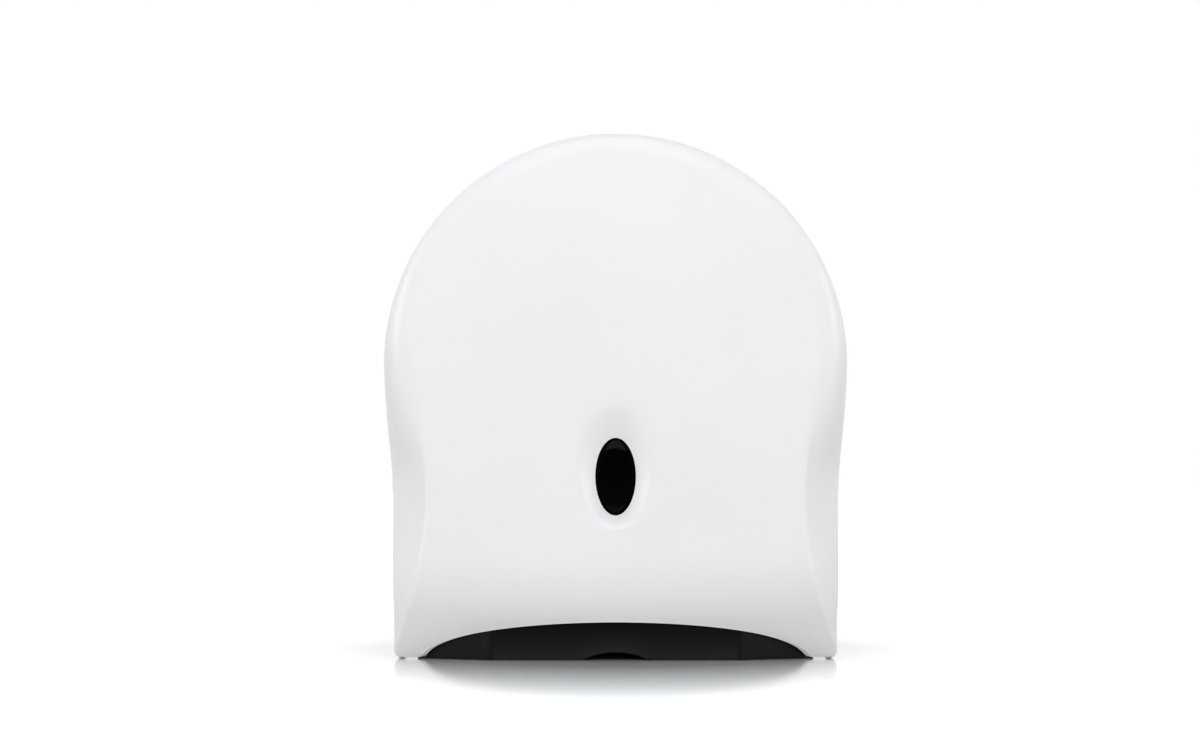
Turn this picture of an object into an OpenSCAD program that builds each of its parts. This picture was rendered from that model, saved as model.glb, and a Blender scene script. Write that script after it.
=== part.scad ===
// Wall dispenser for jumbo toilet rolls, in millimetres.
// +Z is up, the wall is the plane y = 0, the front faces -Y, and the part is symmetric about x = 0.
// The origin lies on the wall, in the middle of the lower edge.

/* [Cover] */
// Radius of the domed top
dome_r = 150; // [140:1:160]
// Height of the dome's centre above the lower edge
dome_z = 190; // [180:1:200]
// Distance from the wall to the front face
depth = 130; // [124:1:145]
// How much each side draws in between the dome and the foot
side_taper = 6; // [2:0.5:9]
// Exponent of that draw-in, higher keeps the sides full for longer
taper_power = 1.3; // [1.1:0.1:2]
// Thickness of the cover's wall
cover_wall = 2.8; // [2.2:0.1:3.4]
// Draft of the side wall between the wall and the front, on the dome
cover_draft = 1.2; // [0:0.1:2]
// Radius of the lower outer corners
foot_r = 5.5; // [2:0.5:8]
// Height of the cover's feet above the lower edge
foot_lift = 0.6; // [0.4:0.1:1.5]

/* [Front face] */
// Radius of the soft edge round the dome
edge_round = 12.5; // [9:0.5:16]
// Height of the waist, where the flanks cut in deepest
waist_z = 118; // [105:1:130]
// How far the crease lies inside the outline at the waist
waist_inset = 26; // [20:0.5:30]
// Angle above the dome's centre where the crease has become the soft edge
brow_angle = 31; // [24:1:40]
// Depth of the flank at the waist, from the crease back to the side wall
flank_depth = 80; // [60:1:90]
// Distance above the waist at which the flank is only half as deep
flank_reach = 40; // [32:1:50]
// Distance below the waist at which the flank is only half as deep
foot_reach = 60; // [45:1:70]
// Roundness of the flank at the waist, 1 is a full corner
flank_fullness = 0.42; // [0.3:0.02:0.7]
// Roundness of the flank at the foot
foot_fullness = 0.6; // [0.5:0.02:0.8]
// Height where the chin starts to curve back
chin_z = 66; // [60:1:72]
// How much higher the chin starts at the sides
chin_rise = 7; // [0:0.5:10]
// Radius of the chin
chin_r = 60; // [52:1:75]
// Steepest slope of the chin
chin_slope = 43; // [36:1:46]

/* [Mouth] */
// How far the mouth's corners lie inside the dome's widest place
mouth_margin = 22.5; // [20:0.5:28]
// Height of the arch above the cover's feet
mouth_rise = 24.4; // [20:0.2:27]
// How far the arch turns before it stops at the feet, 90 would be upright there
mouth_turn = 80; // [74:1:84]
// Squareness of the arch, 1 is part of an ellipse
mouth_power = 0.8; // [0.7:0.02:1]

/* [Window] */
// Height of the window's middle
window_z = 119; // [112:1:126]
// Half width of the window
window_a = 12.8; // [10:0.2:14]
// Half height of the window
window_b = 24.7; // [20:0.2:27]
// Distance of the dish's middle above the window's middle
dish_rise = 7; // [3:0.5:9]
// Half width of the dish
dish_a = 23.4; // [21:0.2:28]
// Half height of the dish
dish_b = 39.1; // [36:0.2:44]
// Depth of the dish at the window
dish_depth = 8; // [5:0.5:9]
// How much the dish steepens towards the window, 1 is a plain cone
dish_curve = 1.2; // [1:0.05:1.6]
// Gap between the lens and the cover
lens_gap = 0.3; // [0.2:0.05:0.5]
// Width of the lens's flange behind the cover
lens_flange = 3; // [2.4:0.2:4]
// Thickness of the lens's flange
lens_flange_t = 1.2; // [1:0.1:2]
// Thickness of the retainer
retainer_t = 2; // [1.6:0.1:3]
// Width of the retainer's frame
retainer_w = 6; // [5.5:0.5:8]

/* [Wall plate] */
// Thickness of the wall plate
plate_t = 3; // [2.5:0.1:4]
// Gap between the plate's rim and the cover
rim_gap = 1.2; // [1:0.1:2]
// Thickness of the plate's rim
rim_t = 2.4; // [2:0.1:3]
// Depth of the plate's rim from the wall
rim_depth = 17; // [12:1:20]
// Height where the rim starts, above the hinge
rim_start = 42; // [38:1:50]
// Distance between the wall screws across
screw_dx = 140; // [120:2:170]
// Distance between the wall screws up and down
screw_dz = 160; // [140:2:176]
// Height of the lower wall screws
screw_low_z = 105; // [95:1:112]
// Width of the wall screw slots
slot_w = 6; // [5:0.2:7]
// Length of the wall screw slots
slot_len = 13; // [10:0.5:16]
// Thickness of the pads around the slots
slot_pad_t = 2; // [1:0.1:3]

/* [Hinge] */
// Distance of the hinge axis from the wall
hinge_y = 20; // [19:0.5:22]
// Height of the hinge axis
hinge_z = 14; // [13:0.5:16]
// Radius of the hinge pins
pin_r = 3; // [2.5:0.1:3.5]
// Radial running clearance of the hinge pins
pin_play = 0.06; // [0.03:0.01:0.09]
// Radius of the hinge bosses
hinge_boss_r = 7.5; // [6.5:0.1:8.5]
// Thickness of the plate's hinge cheeks
cheek_t = 5; // [4:0.5:6]
// Gap beside the hinge cheeks
cheek_gap = 0.5; // [0.3:0.1:0.8]

/* [Tray] */
// Half width of the guard's middle facet
facet_half_w = 80.5; // [70:0.5:90]
// Gap between the cover's lip and the bends between the guard's facets
guard_gap = 1; // [0.5:0.1:3]
// How much the side facets fall back
facet_fall = 20; // [18:0.5:26]
// Height of the guard
guard_h = 32; // [29:0.5:34]
// Wall of the tray
tray_wall = 2.5; // [2:0.1:3]
// Gap between the tray and the cover's mouth at the sides
tray_gap = 1.5; // [1:0.1:2.5]
// Half width of the paper's way out
exit_half_w = 75; // [65:1:85]
// Half width of the finger notch
notch_half_w = 21.5; // [17:0.5:26]
// Height of the finger notch
notch_h = 5; // [3.5:0.5:7]
// Distance the tray's side walls stop short of the wall
tray_side_stop = 34; // [33:0.5:40]

/* [Tear blades] */
// Thickness of the blades
blade_t = 0.8; // [0.5:0.1:1.2]
// Width of the blades without their teeth
blade_w = 10; // [8:0.5:14]
// Pitch of the teeth
tooth_pitch = 4; // [3:0.5:6]
// Depth of the teeth
tooth_h = 2.5; // [1.5:0.5:4]
// Number of rivets in each blade
blade_rivet_n = 3; // [2:1:4]

/* [Spindle] */
// Outside radius of the hub, for a 60 mm core
hub_r = 28; // [26:0.5:29]
// Wall of the hub
hub_wall = 2.4; // [2:0.1:3]
// Length of the hub in front of its flange
hub_len = 86; // [80:1:90]
// Radius of the hub's flange
hub_flange_r = 52; // [45:1:60]
// Thickness of the hub's flange
hub_flange_t = 2.5; // [2:0.1:3.5]
// Radius of the axle
axle_r = 6; // [5:0.1:7]
// Radial running clearance between bush and axle
axle_play = 0.05; // [0.02:0.01:0.09]
// Wall of the bushes
bush_wall = 2; // [1.5:0.1:2.5]
// Length of each bush
bush_len = 12; // [8:1:16]
// Radius of the boss on the plate
boss_r = 24; // [22:0.5:28]
// Height of the boss on the plate
boss_h = 8; // [6:0.5:9]
// Radius of the axle's flange
axle_flange_r = 20; // [18:0.5:21]
// Thickness of the axle's flange
axle_flange_t = 2; // [1.5:0.1:2.5]

/* [Lock] */
// Distance of the lock from the wall
lock_y = 45; // [42:1:50]
// Radius of the lock's body
lock_r = 8.8; // [8:0.1:9.5]
// Radius of the lock's head
lock_head_r = 11; // [10:0.1:12]
// Radius of the barrel
barrel_r = 6; // [5:0.1:6.6]
// Radial running clearance of the barrel
barrel_play = 0.05; // [0.02:0.01:0.09]
// Length of the cam from the lock's axis
cam_len = 20; // [18:0.5:22]
// Width of the cam
cam_w = 8; // [6:0.5:9]
// Thickness of the cam
cam_t = 2.2; // [1.8:0.1:2.6]
// Thickness of the striker's steel
striker_t = 1.5; // [1:0.1:2]
// Outer edge of the striker from the middle
striker_x = 25; // [23:0.5:28]
// Distance between the striker's screws
striker_screw_dz = 12; // [10:0.5:14]

/* [Fasteners] */
// Shank radius of the small screws
screw_r = 1.5; // [1.2:0.1:1.8]
// Head radius of the small screws
screw_head_r = 3; // [2.6:0.1:3.4]
// Head height of the small screws
screw_head_h = 1.6; // [1.2:0.1:2]

/* [Hidden] */

cover_white = [0.95, 0.95, 0.96];
gloss_black = [0.03, 0.03, 0.035];
plate_black = [0.09, 0.09, 0.1];
steel = [0.72, 0.73, 0.75];
smoke = [0.05, 0.05, 0.06];
hub_grey = [0.55, 0.56, 0.58];
bush_white = [0.9, 0.9, 0.88];

seat = 0.05;         // gap between faces that rest on each other
eps = 0.01;          // overlap of solids that are joined
over = 1;            // how far cuts run past the faces they open
screw_gap = 0.2;     // radial gap of a screw in its clearance hole
screw_tip_gap = 1;   // how far a screw ends above the end of its hole
top_z = dome_z + dome_r;
mouth_half_w = dome_r - mouth_margin;
$fn = 48;

// ---------------------------------------------------------------- curves of the cover

function mix(a, b, t) = a + (b - a) * t;
function smooth(t) = let (u = min(1, max(0, t))) u * u * (3 - 2 * u);

// Half width of the outline at height z, below the dome's centre
function side_half_w(z) =
    dome_r - side_taper * pow(max(0, cos(90 * z / dome_z)), taper_power)
    - (z < foot_r ? foot_r - sqrt(foot_r * foot_r - pow(foot_r - z, 2)) : 0);

// Stations run along the outline from the right foot, over the dome, to the left foot.
// Each is [x, z, inward x, inward z, length along the outline above the lower edge].
n_side = 14;
n_dome = 32;
n_outline = 2 * n_side + n_dome;
side_crowding = 1.6; // more stations near the foot than near the dome

function side_z(k) = foot_lift + (dome_z - foot_lift) * pow(k / n_side, side_crowding);
function dome_angle(k) = 180 * k / n_dome;
function station(i) =
    i < n_side ? let (z = side_z(i)) [side_half_w(z), z, -1, 0, z] :
    i > n_side + n_dome ? let (z = side_z(n_outline - i)) [-side_half_w(z), z, 1, 0, z] :
    let (a = dome_angle(i - n_side), up = 90 - abs(90 - a))
        [dome_r * cos(a), dome_z + dome_r * sin(a), -cos(a), -sin(a), dome_z + dome_r * up * PI / 180];
stations = [for (i = [0:n_outline]) station(i)];

// How far the outline has passed from the waist (0) to the brow (1)
brow_len = dome_z + dome_r * brow_angle * PI / 180;
function above_waist(len) = smooth((len - waist_z) / (brow_len - waist_z));
// Height below which the crease has run into the foot's corner
crease_end = 8;

function crease_inset(len) =
    len > waist_z ? mix(waist_inset, edge_round, above_waist(len)) :
    waist_inset * (1 - pow(min(1, (waist_z - len) / (waist_z - crease_end)), 2));

// How deep the flank is: 1 at the waist, 0 at the brow and where the crease ends
function waist_share(len) =
    let (
        above = len > waist_z,
        away = abs(len - waist_z),
        end = above ? brow_len - waist_z : waist_z - crease_end
    )
    (1 - pow(min(1, away / end), 4)) / (1 + pow(away / (above ? flank_reach : foot_reach), 2));
function edge_fullness(len) = mix(len > waist_z ? 1 : foot_fullness, flank_fullness, waist_share(len));
function flank_span(len) = mix(edge_round, flank_depth, waist_share(len));

// Depth that the chin has curved back at x, z, and the slope there
function chin_below(x, z) = chin_z + chin_rise * pow(x / dome_r, 2) - z;
function chin_arc() = chin_r * sin(chin_slope);
function chin_drop(x, z) = let (d = chin_below(x, z))
    d <= 0 ? 0 :
    d < chin_arc() ? chin_r - sqrt(chin_r * chin_r - d * d) :
    chin_r * (1 - cos(chin_slope)) + (d - chin_arc()) * tan(chin_slope);
function chin_tilt(x, z) = let (d = chin_below(x, z))
    d <= 0 ? 0 : d < chin_arc() ? asin(d / chin_r) : chin_slope;
function face_y(x, z) = -depth + chin_drop(x, z);

// Back edge of the side wall: 1 mm off the wall, rounded about the hinge at the foot
back_gap = 1;
function back_y(z) = z >= hinge_z ? -back_gap :
    -hinge_y + sqrt(pow(hinge_y - back_gap, 2) - pow(hinge_z - z, 2));

// Inner skin at the crease: the meeting point of two walls of the same thickness
least_run = 0.5;
function flank_angle(len) =
    atan2(crease_inset(len), max(least_run, (1 - edge_fullness(len)) * flank_span(len)));
function corner_run(len) = cover_wall / tan((90 + flank_angle(len)) / 2);

// Point j of the section at station s: 0 is the back edge, n_section the crease
n_section = 7;
function bezier(p, m, q, t) = (1 - t) * (1 - t) * p + 2 * t * (1 - t) * m + t * t * q;
function section_point(s, j, inner) =
    let (
        len = s[4],
        inset = crease_inset(len),
        crease = [s[0] + s[2] * inset, s[1] + s[3] * inset],
        y1 = face_y(crease[0], crease[1]),
        tilt = chin_tilt(crease[0], crease[1]),
        y0 = y1 + flank_span(len),
        draft = cover_draft * above_waist(len),
        w = inner ? cover_wall : 0,
        corner = inset + (inner ? corner_run(len) : 0),
        y_end = y1 + (inner ? cover_wall * cos(tilt) : 0),
        lift = inner ? cover_wall * sin(tilt) : 0,
        k = edge_fullness(len),
        t = (j - 1) / (n_section - 1),
        y_mid = mix(y0, y_end, k),
        in = j == 0 ? w : bezier(draft + w, min(corner, mix(draft, draft * 0.5, k) + w), corner, t),
        y = j == 0 ? back_y(s[1]) : bezier(y0, y_mid, y_end, t)
    )
    [s[0] + s[2] * in, y, s[1] + s[3] * in + (j == n_section ? lift : 0)];

// The mouth: an arch from the left foot to the right foot, stopped before it stands upright
n_mouth = 24;
mouth_end = pow(cos(mouth_turn), mouth_power);
function mouth_angle(k) = mouth_turn * (2 * k / n_mouth - 1);
function arch_z(a) = foot_lift + mouth_rise * (pow(cos(a), mouth_power) - mouth_end) / (1 - mouth_end);
function mouth_point(k) = let (a = mouth_angle(k))
    [mouth_half_w * sin(a) / sin(mouth_turn), arch_z(a)];
// Distance from the wall to the back of the lip, at x from the middle
function lip_back(x) = let (z = arch_z(asin(x * sin(mouth_turn) / mouth_half_w)))
    -face_y(x, z) - cover_wall * cos(chin_tilt(x, z));

// The lower edge of a foot, from the crease (0) to the mouth's corner (1)
n_foot = 3;
foot_x = side_half_w(foot_lift) - crease_inset(foot_lift);
function foot_point(side, t) = [side * mix(foot_x, mouth_half_w, t), foot_lift];

// The closed loop of the front face: crease, left foot, mouth, right foot
n_loop = n_outline + 1 + n_mouth + 1 + 2 * n_foot;
function crease_point(s) = let (in = crease_inset(s[4])) [s[0] + s[2] * in, s[1] + s[3] * in];
function loop_point(l) = let (k = l - n_outline)
    k <= 0 ? crease_point(stations[l]) :
    k <= n_foot ? foot_point(-1, k / (n_foot + 1)) :
    k <= n_foot + 1 + n_mouth ? mouth_point(k - n_foot - 1) :
    foot_point(1, (n_loop - l) / (n_foot + 1));
face_loop = [for (l = [0:n_loop - 1]) loop_point(l)];

// Angle round the dish that a loop point runs to
foot_dish_angle = -25;
function dish_angle(l) = l <= n_outline ? foot_dish_angle + (180 - 2 * foot_dish_angle) * l / n_outline :
    180 - foot_dish_angle + (180 + 2 * foot_dish_angle) * (l - n_outline) / (n_loop - n_outline);

// Middle of the curve that runs from loop point c to dish point e. Near the feet it leans only as
// much as the crease and the mouth allow, higher up it lies half way between the two.
spoke_lean = 0.5;
spoke_reach = 110;
function spoke_middle(c, e) =
    let (
        middle = (c + e) / 2,
        plain = abs(middle[0]),
        leaning = max(plain, abs(c[0]) - spoke_lean * max(0, middle[1] - c[1]))
    )
    [sign(c[0]) * mix(plain, leaning, 1 - smooth(c[1] / spoke_reach)), middle[1]];

// Rings of the face: 0 is the loop, n_face the dish's rim, n_rings the window's edge
face_steps = [0, 0.03, 0.08, 0.14, 0.21, 0.29, 0.38, 0.48, 0.59, 0.71, 0.85, 1];
dish_steps = [0.22, 0.5, 0.78, 1];
n_face = len(face_steps) - 1;
n_rings = n_face + len(dish_steps);
dish_z = window_z + dish_rise;

function dish_point(l, t) = let (a = dish_angle(l))
    [mix(dish_a, window_a, t) * cos(a), mix(dish_z, window_z, t) + mix(dish_b, window_b, t) * sin(a)];
function ring_point(l, r, inner) =
    r <= n_face ?
        let (
            c = face_loop[l], e = dish_point(l, 0),
            p = bezier(c, spoke_middle(c, e), e, face_steps[r]),
            tilt = chin_tilt(p[0], p[1]),
            y = face_y(p[0], p[1])
        )
        inner ? [p[0], y + cover_wall * cos(tilt), p[1] + cover_wall * sin(tilt)] : [p[0], y, p[1]]
    :
        let (t = dish_steps[r - n_face - 1], p = dish_point(l, t))
        [p[0], -depth + dish_depth * pow(t, dish_curve) + (inner ? cover_wall : 0), p[1]];

// ---------------------------------------------------------------- shell of the cover

// Points are laid out as: outer section rows, outer rings, inner section rows, inner rings.
n_strip = (n_outline + 1) * n_section;
n_annulus = n_loop * (n_rings + 1);
skin_size = n_strip + n_annulus;

function skin(inner) = concat(
    [for (i = [0:n_outline], j = [0:n_section - 1]) section_point(stations[i], j, inner)],
    [for (l = [0:n_loop - 1], r = [0:n_rings])
        r == 0 && l <= n_outline ? section_point(stations[l], n_section, inner) : ring_point(l, r, inner)]
);
function strip_index(i, j, side) =
    side * skin_size + (j < n_section ? i * n_section + j : n_strip + i * (n_rings + 1));
function ring_index(l, r, side) = side * skin_size + n_strip + (l % n_loop) * (n_rings + 1) + r;
function quad(a, b, c, d, turned = false) = turned ? [[a, b, d], [b, c, d]] : [[a, b, c], [a, c, d]];
// Spokes from the right of the crease and from the left of the mouth split their quads the other
// way, so that both halves are mirror images
function turned_at(l) = l < n_outline / 2 || (l >= n_outline && l < (n_outline + n_loop) / 2);
function skin_faces(side) = [
    for (i = [0:n_outline - 1], j = [0:n_section - 1])
        each quad(strip_index(i, j, side), strip_index(i, j + 1, side),
            strip_index(i + 1, j + 1, side), strip_index(i + 1, j, side), turned_at(i)),
    for (l = [0:n_loop - 1], r = [0:n_rings - 1])
        each quad(ring_index(l, r, side), ring_index(l, r + 1, side),
            ring_index(l + 1, r + 1, side), ring_index(l + 1, r, side), turned_at(l))
];
function flip(faces) = [for (f = faces) [f[2], f[1], f[0]]];
function rim_faces() = [
    for (i = [0:n_outline - 1])
        each quad(strip_index(i, 0, 0), strip_index(i + 1, 0, 0),
            strip_index(i + 1, 0, 1), strip_index(i, 0, 1)),
    for (j = [0:n_section - 1])
        each quad(strip_index(0, j + 1, 0), strip_index(0, j, 0),
            strip_index(0, j, 1), strip_index(0, j + 1, 1)),
    for (j = [0:n_section - 1])
        each quad(strip_index(n_outline, j, 0), strip_index(n_outline, j + 1, 0),
            strip_index(n_outline, j + 1, 1), strip_index(n_outline, j, 1)),
    for (l = [n_outline:n_loop - 1])
        each quad(ring_index(l, 0, 0), ring_index(l + 1, 0, 0), ring_index(l + 1, 0, 1), ring_index(l, 0, 1)),
    for (l = [0:n_loop - 1])
        each quad(ring_index(l + 1, n_rings, 0), ring_index(l, n_rings, 0),
            ring_index(l, n_rings, 1), ring_index(l + 1, n_rings, 1))
];

module cover_shell() {
    polyhedron(
        points = concat(skin(false), skin(true)),
        faces = concat(skin_faces(0), flip(skin_faces(1)), rim_faces()),
        convexity = 8
    );
}

// Dish depth at x = 0 and height z, for what is seated behind the face
function dish_depth_at(z) = let (
        above = z > window_z,
        rim = above ? dish_z + dish_b : dish_z - dish_b,
        edge = above ? window_z + window_b : window_z - window_b
    ) dish_depth * pow(min(1, max(0, (z - rim) / (edge - rim))), dish_curve);

// ---------------------------------------------------------------- helpers

// A flat shape in x, z, standing between two distances from the wall
module slab(near, far) {
    translate([0, -near, 0]) rotate([90, 0, 0]) linear_extrude(far - near) children();
}
// Round bars along the three axes; y bars are given by their distances from the wall
module bar_y(x, z, r, near, far) {
    translate([x, -near, z]) rotate([90, 0, 0]) cylinder(r = r, h = far - near);
}
module bar_x(y, z, r, x0, x1) {
    translate([x0, y, z]) rotate([0, 90, 0]) cylinder(r = r, h = x1 - x0);
}
module bar_z(x, y, r, z0, z1) {
    translate([x, y, z0]) cylinder(r = r, h = z1 - z0);
}
module box(low, high) {
    translate(low) cube(high - low);
}
module both_sides() {
    children();
    mirror([1, 0, 0]) children();
}
module ellipse_2d(a, b) {
    polygon([for (k = [0:n_ellipse - 1]) let (t = 360 * k / n_ellipse) [a * cos(t), b * sin(t)]]);
}
n_ellipse = 48;

// Small screw whose head faces the front; seat_y is the distance of the head's seat from the wall
drive_w = 0.8;
drive_len = 1.3; // length of the cross recess, in head radii
module screw_y(x, z, seat_y, length, r = screw_r, head_r = screw_head_r, head_h = screw_head_h) {
    color(steel) difference() {
        union() {
            bar_y(x, z, r, seat_y - length, seat_y + eps);
            bar_y(x, z, head_r, seat_y, seat_y + head_h);
        }
        for (a = [0, 90])
            translate([x, -seat_y - head_h, z]) rotate([0, a, 0])
                cube([head_r * drive_len, head_h, drive_w], center = true);
    }
}

// ---------------------------------------------------------------- front cover

lock_boss_r = lock_head_r + 3;
lock_boss_depth = 5;    // below the top of the dome
lock_boss_sink = 1.8;   // the boss stays this far below the top of the dome
lock_recess = 2.4;      // seat of the lock's head below the top of the dome
lock_head_sink = 0.8;   // top of the lock's head below the top of the dome
lock_hole_gap = 0.1;
lock_rim_gap = 0.3;

tray_x = mouth_half_w - tray_gap;
cheek_x0 = tray_x + cheek_gap;
cheek_x1 = cheek_x0 + cheek_t;
ear_x0 = cheek_x1 + cheek_gap;
ear_x1 = side_half_w(hinge_z) - cover_wall / 2;
pin_skin = 2;           // from the end of a hinge pin to the cover's side
pin_x1 = side_half_w(hinge_z) - pin_skin;
pin_end_gap = 0.3;

retainer_y = depth - dish_depth - cover_wall - seat - lens_flange_t; // its front face, from the wall
retainer_screw_gap = 1; // from the lens's flange to a screw's pad
retainer_screw_dz = window_b + lens_flange + retainer_w / 2 + retainer_screw_gap;
retainer_screw_z = [window_z - retainer_screw_dz, window_z + retainer_screw_dz];
retainer_boss_r = 3.5;
retainer_screw_len = 5;
hole_end = 1.2;         // wall left in front of a blind hole

module front_cover() {
    color(cover_white) difference() {
        union() {
            cover_shell();
            both_sides() bar_x(-hinge_y, hinge_z, hinge_boss_r, ear_x0, ear_x1);
            bar_z(0, -lock_y, lock_boss_r, top_z - lock_boss_depth, top_z - lock_boss_sink);
            for (z = retainer_screw_z)
                bar_y(0, z, retainer_boss_r, retainer_y + seat, depth - dish_depth_at(z) - cover_wall / 2);
        }
        both_sides() bar_x(-hinge_y, hinge_z, pin_r + pin_play, ear_x0 - over, pin_x1 + pin_end_gap);
        bar_z(0, -lock_y, lock_r + lock_hole_gap, top_z - lock_boss_depth - over, top_z + over);
        bar_z(0, -lock_y, lock_head_r + lock_rim_gap, top_z - lock_recess, top_z + over);
        for (z = retainer_screw_z)
            bar_y(0, z, screw_r, retainer_y - over, depth - dish_depth_at(z) - hole_end);
    }
}

// ---------------------------------------------------------------- window

lens_proud = 0.3;    // the lens stands this far out of the dish
lens_bevel = 0.8;
retainer_lap = 1.5;  // how far the retainer's opening lies inside the window
retainer_lip = 1.5;  // how far the retainer reaches past the lens's flange

module window_lens() {
    flange_y = retainer_y + seat;
    front_y = depth - dish_depth + lens_proud;
    color(smoke) translate([0, 0, window_z]) {
        slab(flange_y, flange_y + lens_flange_t) ellipse_2d(window_a + lens_flange, window_b + lens_flange);
        slab(flange_y, front_y - lens_bevel) ellipse_2d(window_a - lens_gap, window_b - lens_gap);
        hull() {
            slab(front_y - lens_bevel - eps, front_y - lens_bevel)
                ellipse_2d(window_a - lens_gap, window_b - lens_gap);
            slab(front_y - eps, front_y)
                ellipse_2d(window_a - lens_gap - lens_bevel * 2, window_b - lens_gap - lens_bevel * 2);
        }
    }
}

module lens_retainer() {
    color(plate_black) difference() {
        union() {
            slab(retainer_y - retainer_t, retainer_y) translate([0, window_z])
                ellipse_2d(window_a + lens_flange + retainer_lip, window_b + lens_flange + retainer_lip);
            for (z = retainer_screw_z)
                bar_y(0, z, retainer_w / 2 + retainer_lip, retainer_y - retainer_t, retainer_y);
        }
        slab(retainer_y - retainer_t - over, retainer_y + over) translate([0, window_z])
            ellipse_2d(window_a - retainer_lap, window_b - retainer_lap);
        for (z = retainer_screw_z)
            bar_y(0, z, screw_r + screw_gap, retainer_y - retainer_t - over, retainer_y + over);
    }
}

// These screws face the back, so they are drawn turned about the retainer
module retainer_screws() {
    head_y = retainer_y - retainer_t - seat;
    for (z = retainer_screw_z)
        translate([0, -2 * head_y, 0]) mirror([0, 1, 0]) screw_y(0, z, head_y, retainer_screw_len);
}

// ---------------------------------------------------------------- wall plate

plate_inset = cover_wall + rim_gap;
function outline_at(inset) = concat(
    [[stations[0][0] - inset, 0]],
    [for (s = stations) [s[0] + s[2] * inset, s[1] + s[3] * inset]],
    [[-stations[0][0] + inset, 0]]
);
slot_zs = [screw_low_z, screw_low_z + screw_dz];
slot_margin = 4;
rib_n = 8;
rib_t = 2;
rib_h = 4;
rib_reach = 80;
tray_screw_inset = 13;  // from the edge of the paper's way out
tray_screw_dx = 20;
tray_screw_x = [exit_half_w + tray_screw_inset, exit_half_w + tray_screw_inset + tray_screw_dx];
tray_screw_z = 12;
tray_boss_h = 6;
tray_boss_r = 5;
tray_back = plate_t + tray_boss_h + seat;
striker_screw_drop = 26; // below the top of the dome
striker_foot_z = [top_z - striker_screw_drop, top_z - striker_screw_drop - striker_screw_dz];
striker_screw_x = 16;
striker_margin = 5;      // from a screw to the striker's edge
striker_hole_end = 0.6;  // plate left behind a blind hole
axle_screw_n = 4;
axle_screw_pcr = 14.5;
axle_tail = 5;
pilot_depth = 6;
foot_swing_z = hinge_z + hinge_y + over; // the cover's feet swing up to here behind the hinge
cheek_r = hinge_boss_r + 1.5;
rib_root = 1;            // how far the ribs run into the boss
axle_end_gap = 0.5;

module slot_2d(grow) {
    half = (slot_len - slot_w) / 2;
    for (x = [-half, half]) translate([x, 0]) circle(slot_w / 2 + grow);
    square([2 * half, slot_w + 2 * grow], center = true);
}
module at_slots() {
    for (x = [-screw_dx / 2, screw_dx / 2], z = slot_zs) translate([x, z]) children();
}
module about_spindle(n, start = 0) {
    for (k = [0:n - 1]) translate([0, 0, dome_z]) rotate([0, start + 360 * k / n, 0]) children();
}

module back_plate() {
    color(plate_black) difference() {
        union() {
            slab(0, plate_t) polygon(outline_at(plate_inset));
            slab(0, rim_depth) intersection() {
                difference() {
                    polygon(outline_at(plate_inset));
                    polygon(outline_at(plate_inset + rim_t));
                }
                translate([-dome_r, rim_start]) square([2 * dome_r, top_z]);
            }
            bar_y(0, dome_z, boss_r, 0, plate_t + boss_h);
            about_spindle(rib_n)
                box([boss_r - rib_root, -plate_t - rib_h, -rib_t / 2],
                    [rib_reach, -plate_t + eps, rib_t / 2]);
            slab(0, plate_t + rib_h) translate([0, dome_z]) difference() {
                circle(rib_reach);
                circle(rib_reach - rib_t);
            }
            slab(0, plate_t + slot_pad_t) at_slots() slot_2d(slot_margin);
            both_sides() {
                bar_x(-hinge_y, hinge_z, cheek_r, cheek_x0, cheek_x1);
                box([cheek_x0, -hinge_y, 0], [cheek_x1, -plate_t + eps, hinge_z + cheek_r]);
                box([cheek_x0, -hinge_y - cheek_r, 0], [cheek_x1, -hinge_y + eps, hinge_z]);
                for (x = tray_screw_x) bar_y(x, tray_screw_z, tray_boss_r, 0, plate_t + tray_boss_h);
            }
        }
        slab(-over, plate_t + slot_pad_t + over) at_slots() slot_2d(0);
        both_sides() {
            box([cheek_x1, -plate_t - over, -over], [dome_r, over, foot_swing_z]);
            bar_x(-hinge_y, hinge_z, pin_r + seat / 2, cheek_x0 - over, cheek_x1 + over);
            for (x = tray_screw_x)
                bar_y(x, tray_screw_z, screw_r,
                    plate_t + tray_boss_h - pilot_depth, plate_t + tray_boss_h + over);
        }
        bar_y(0, dome_z, axle_r + seat / 2,
            plate_t + boss_h - axle_tail - axle_end_gap, plate_t + boss_h + over);
        about_spindle(axle_screw_n, 45)
            bar_y(axle_screw_pcr, 0, screw_r, plate_t + boss_h - pilot_depth, plate_t + boss_h + over);
        for (z = striker_foot_z) bar_y(striker_screw_x, z, screw_r, striker_hole_end, plate_t + over);
    }
}

// ---------------------------------------------------------------- hinge pins

pin_head_t = 1;
pin_head_lap = 1.2;
module hinge_pin() {
    color(steel) {
        bar_x(-hinge_y, hinge_z, pin_r, cheek_x0 - eps, pin_x1);
        bar_x(-hinge_y, hinge_z, pin_r + pin_head_lap, cheek_x0 - seat - pin_head_t, cheek_x0 - seat);
        bar_x(-hinge_y, hinge_z, pin_r, cheek_x0 - seat - eps, cheek_x0);
    }
}
module hinge_pin_right() hinge_pin();
module hinge_pin_left() mirror([1, 0, 0]) hinge_pin();

// ---------------------------------------------------------------- tray

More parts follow.
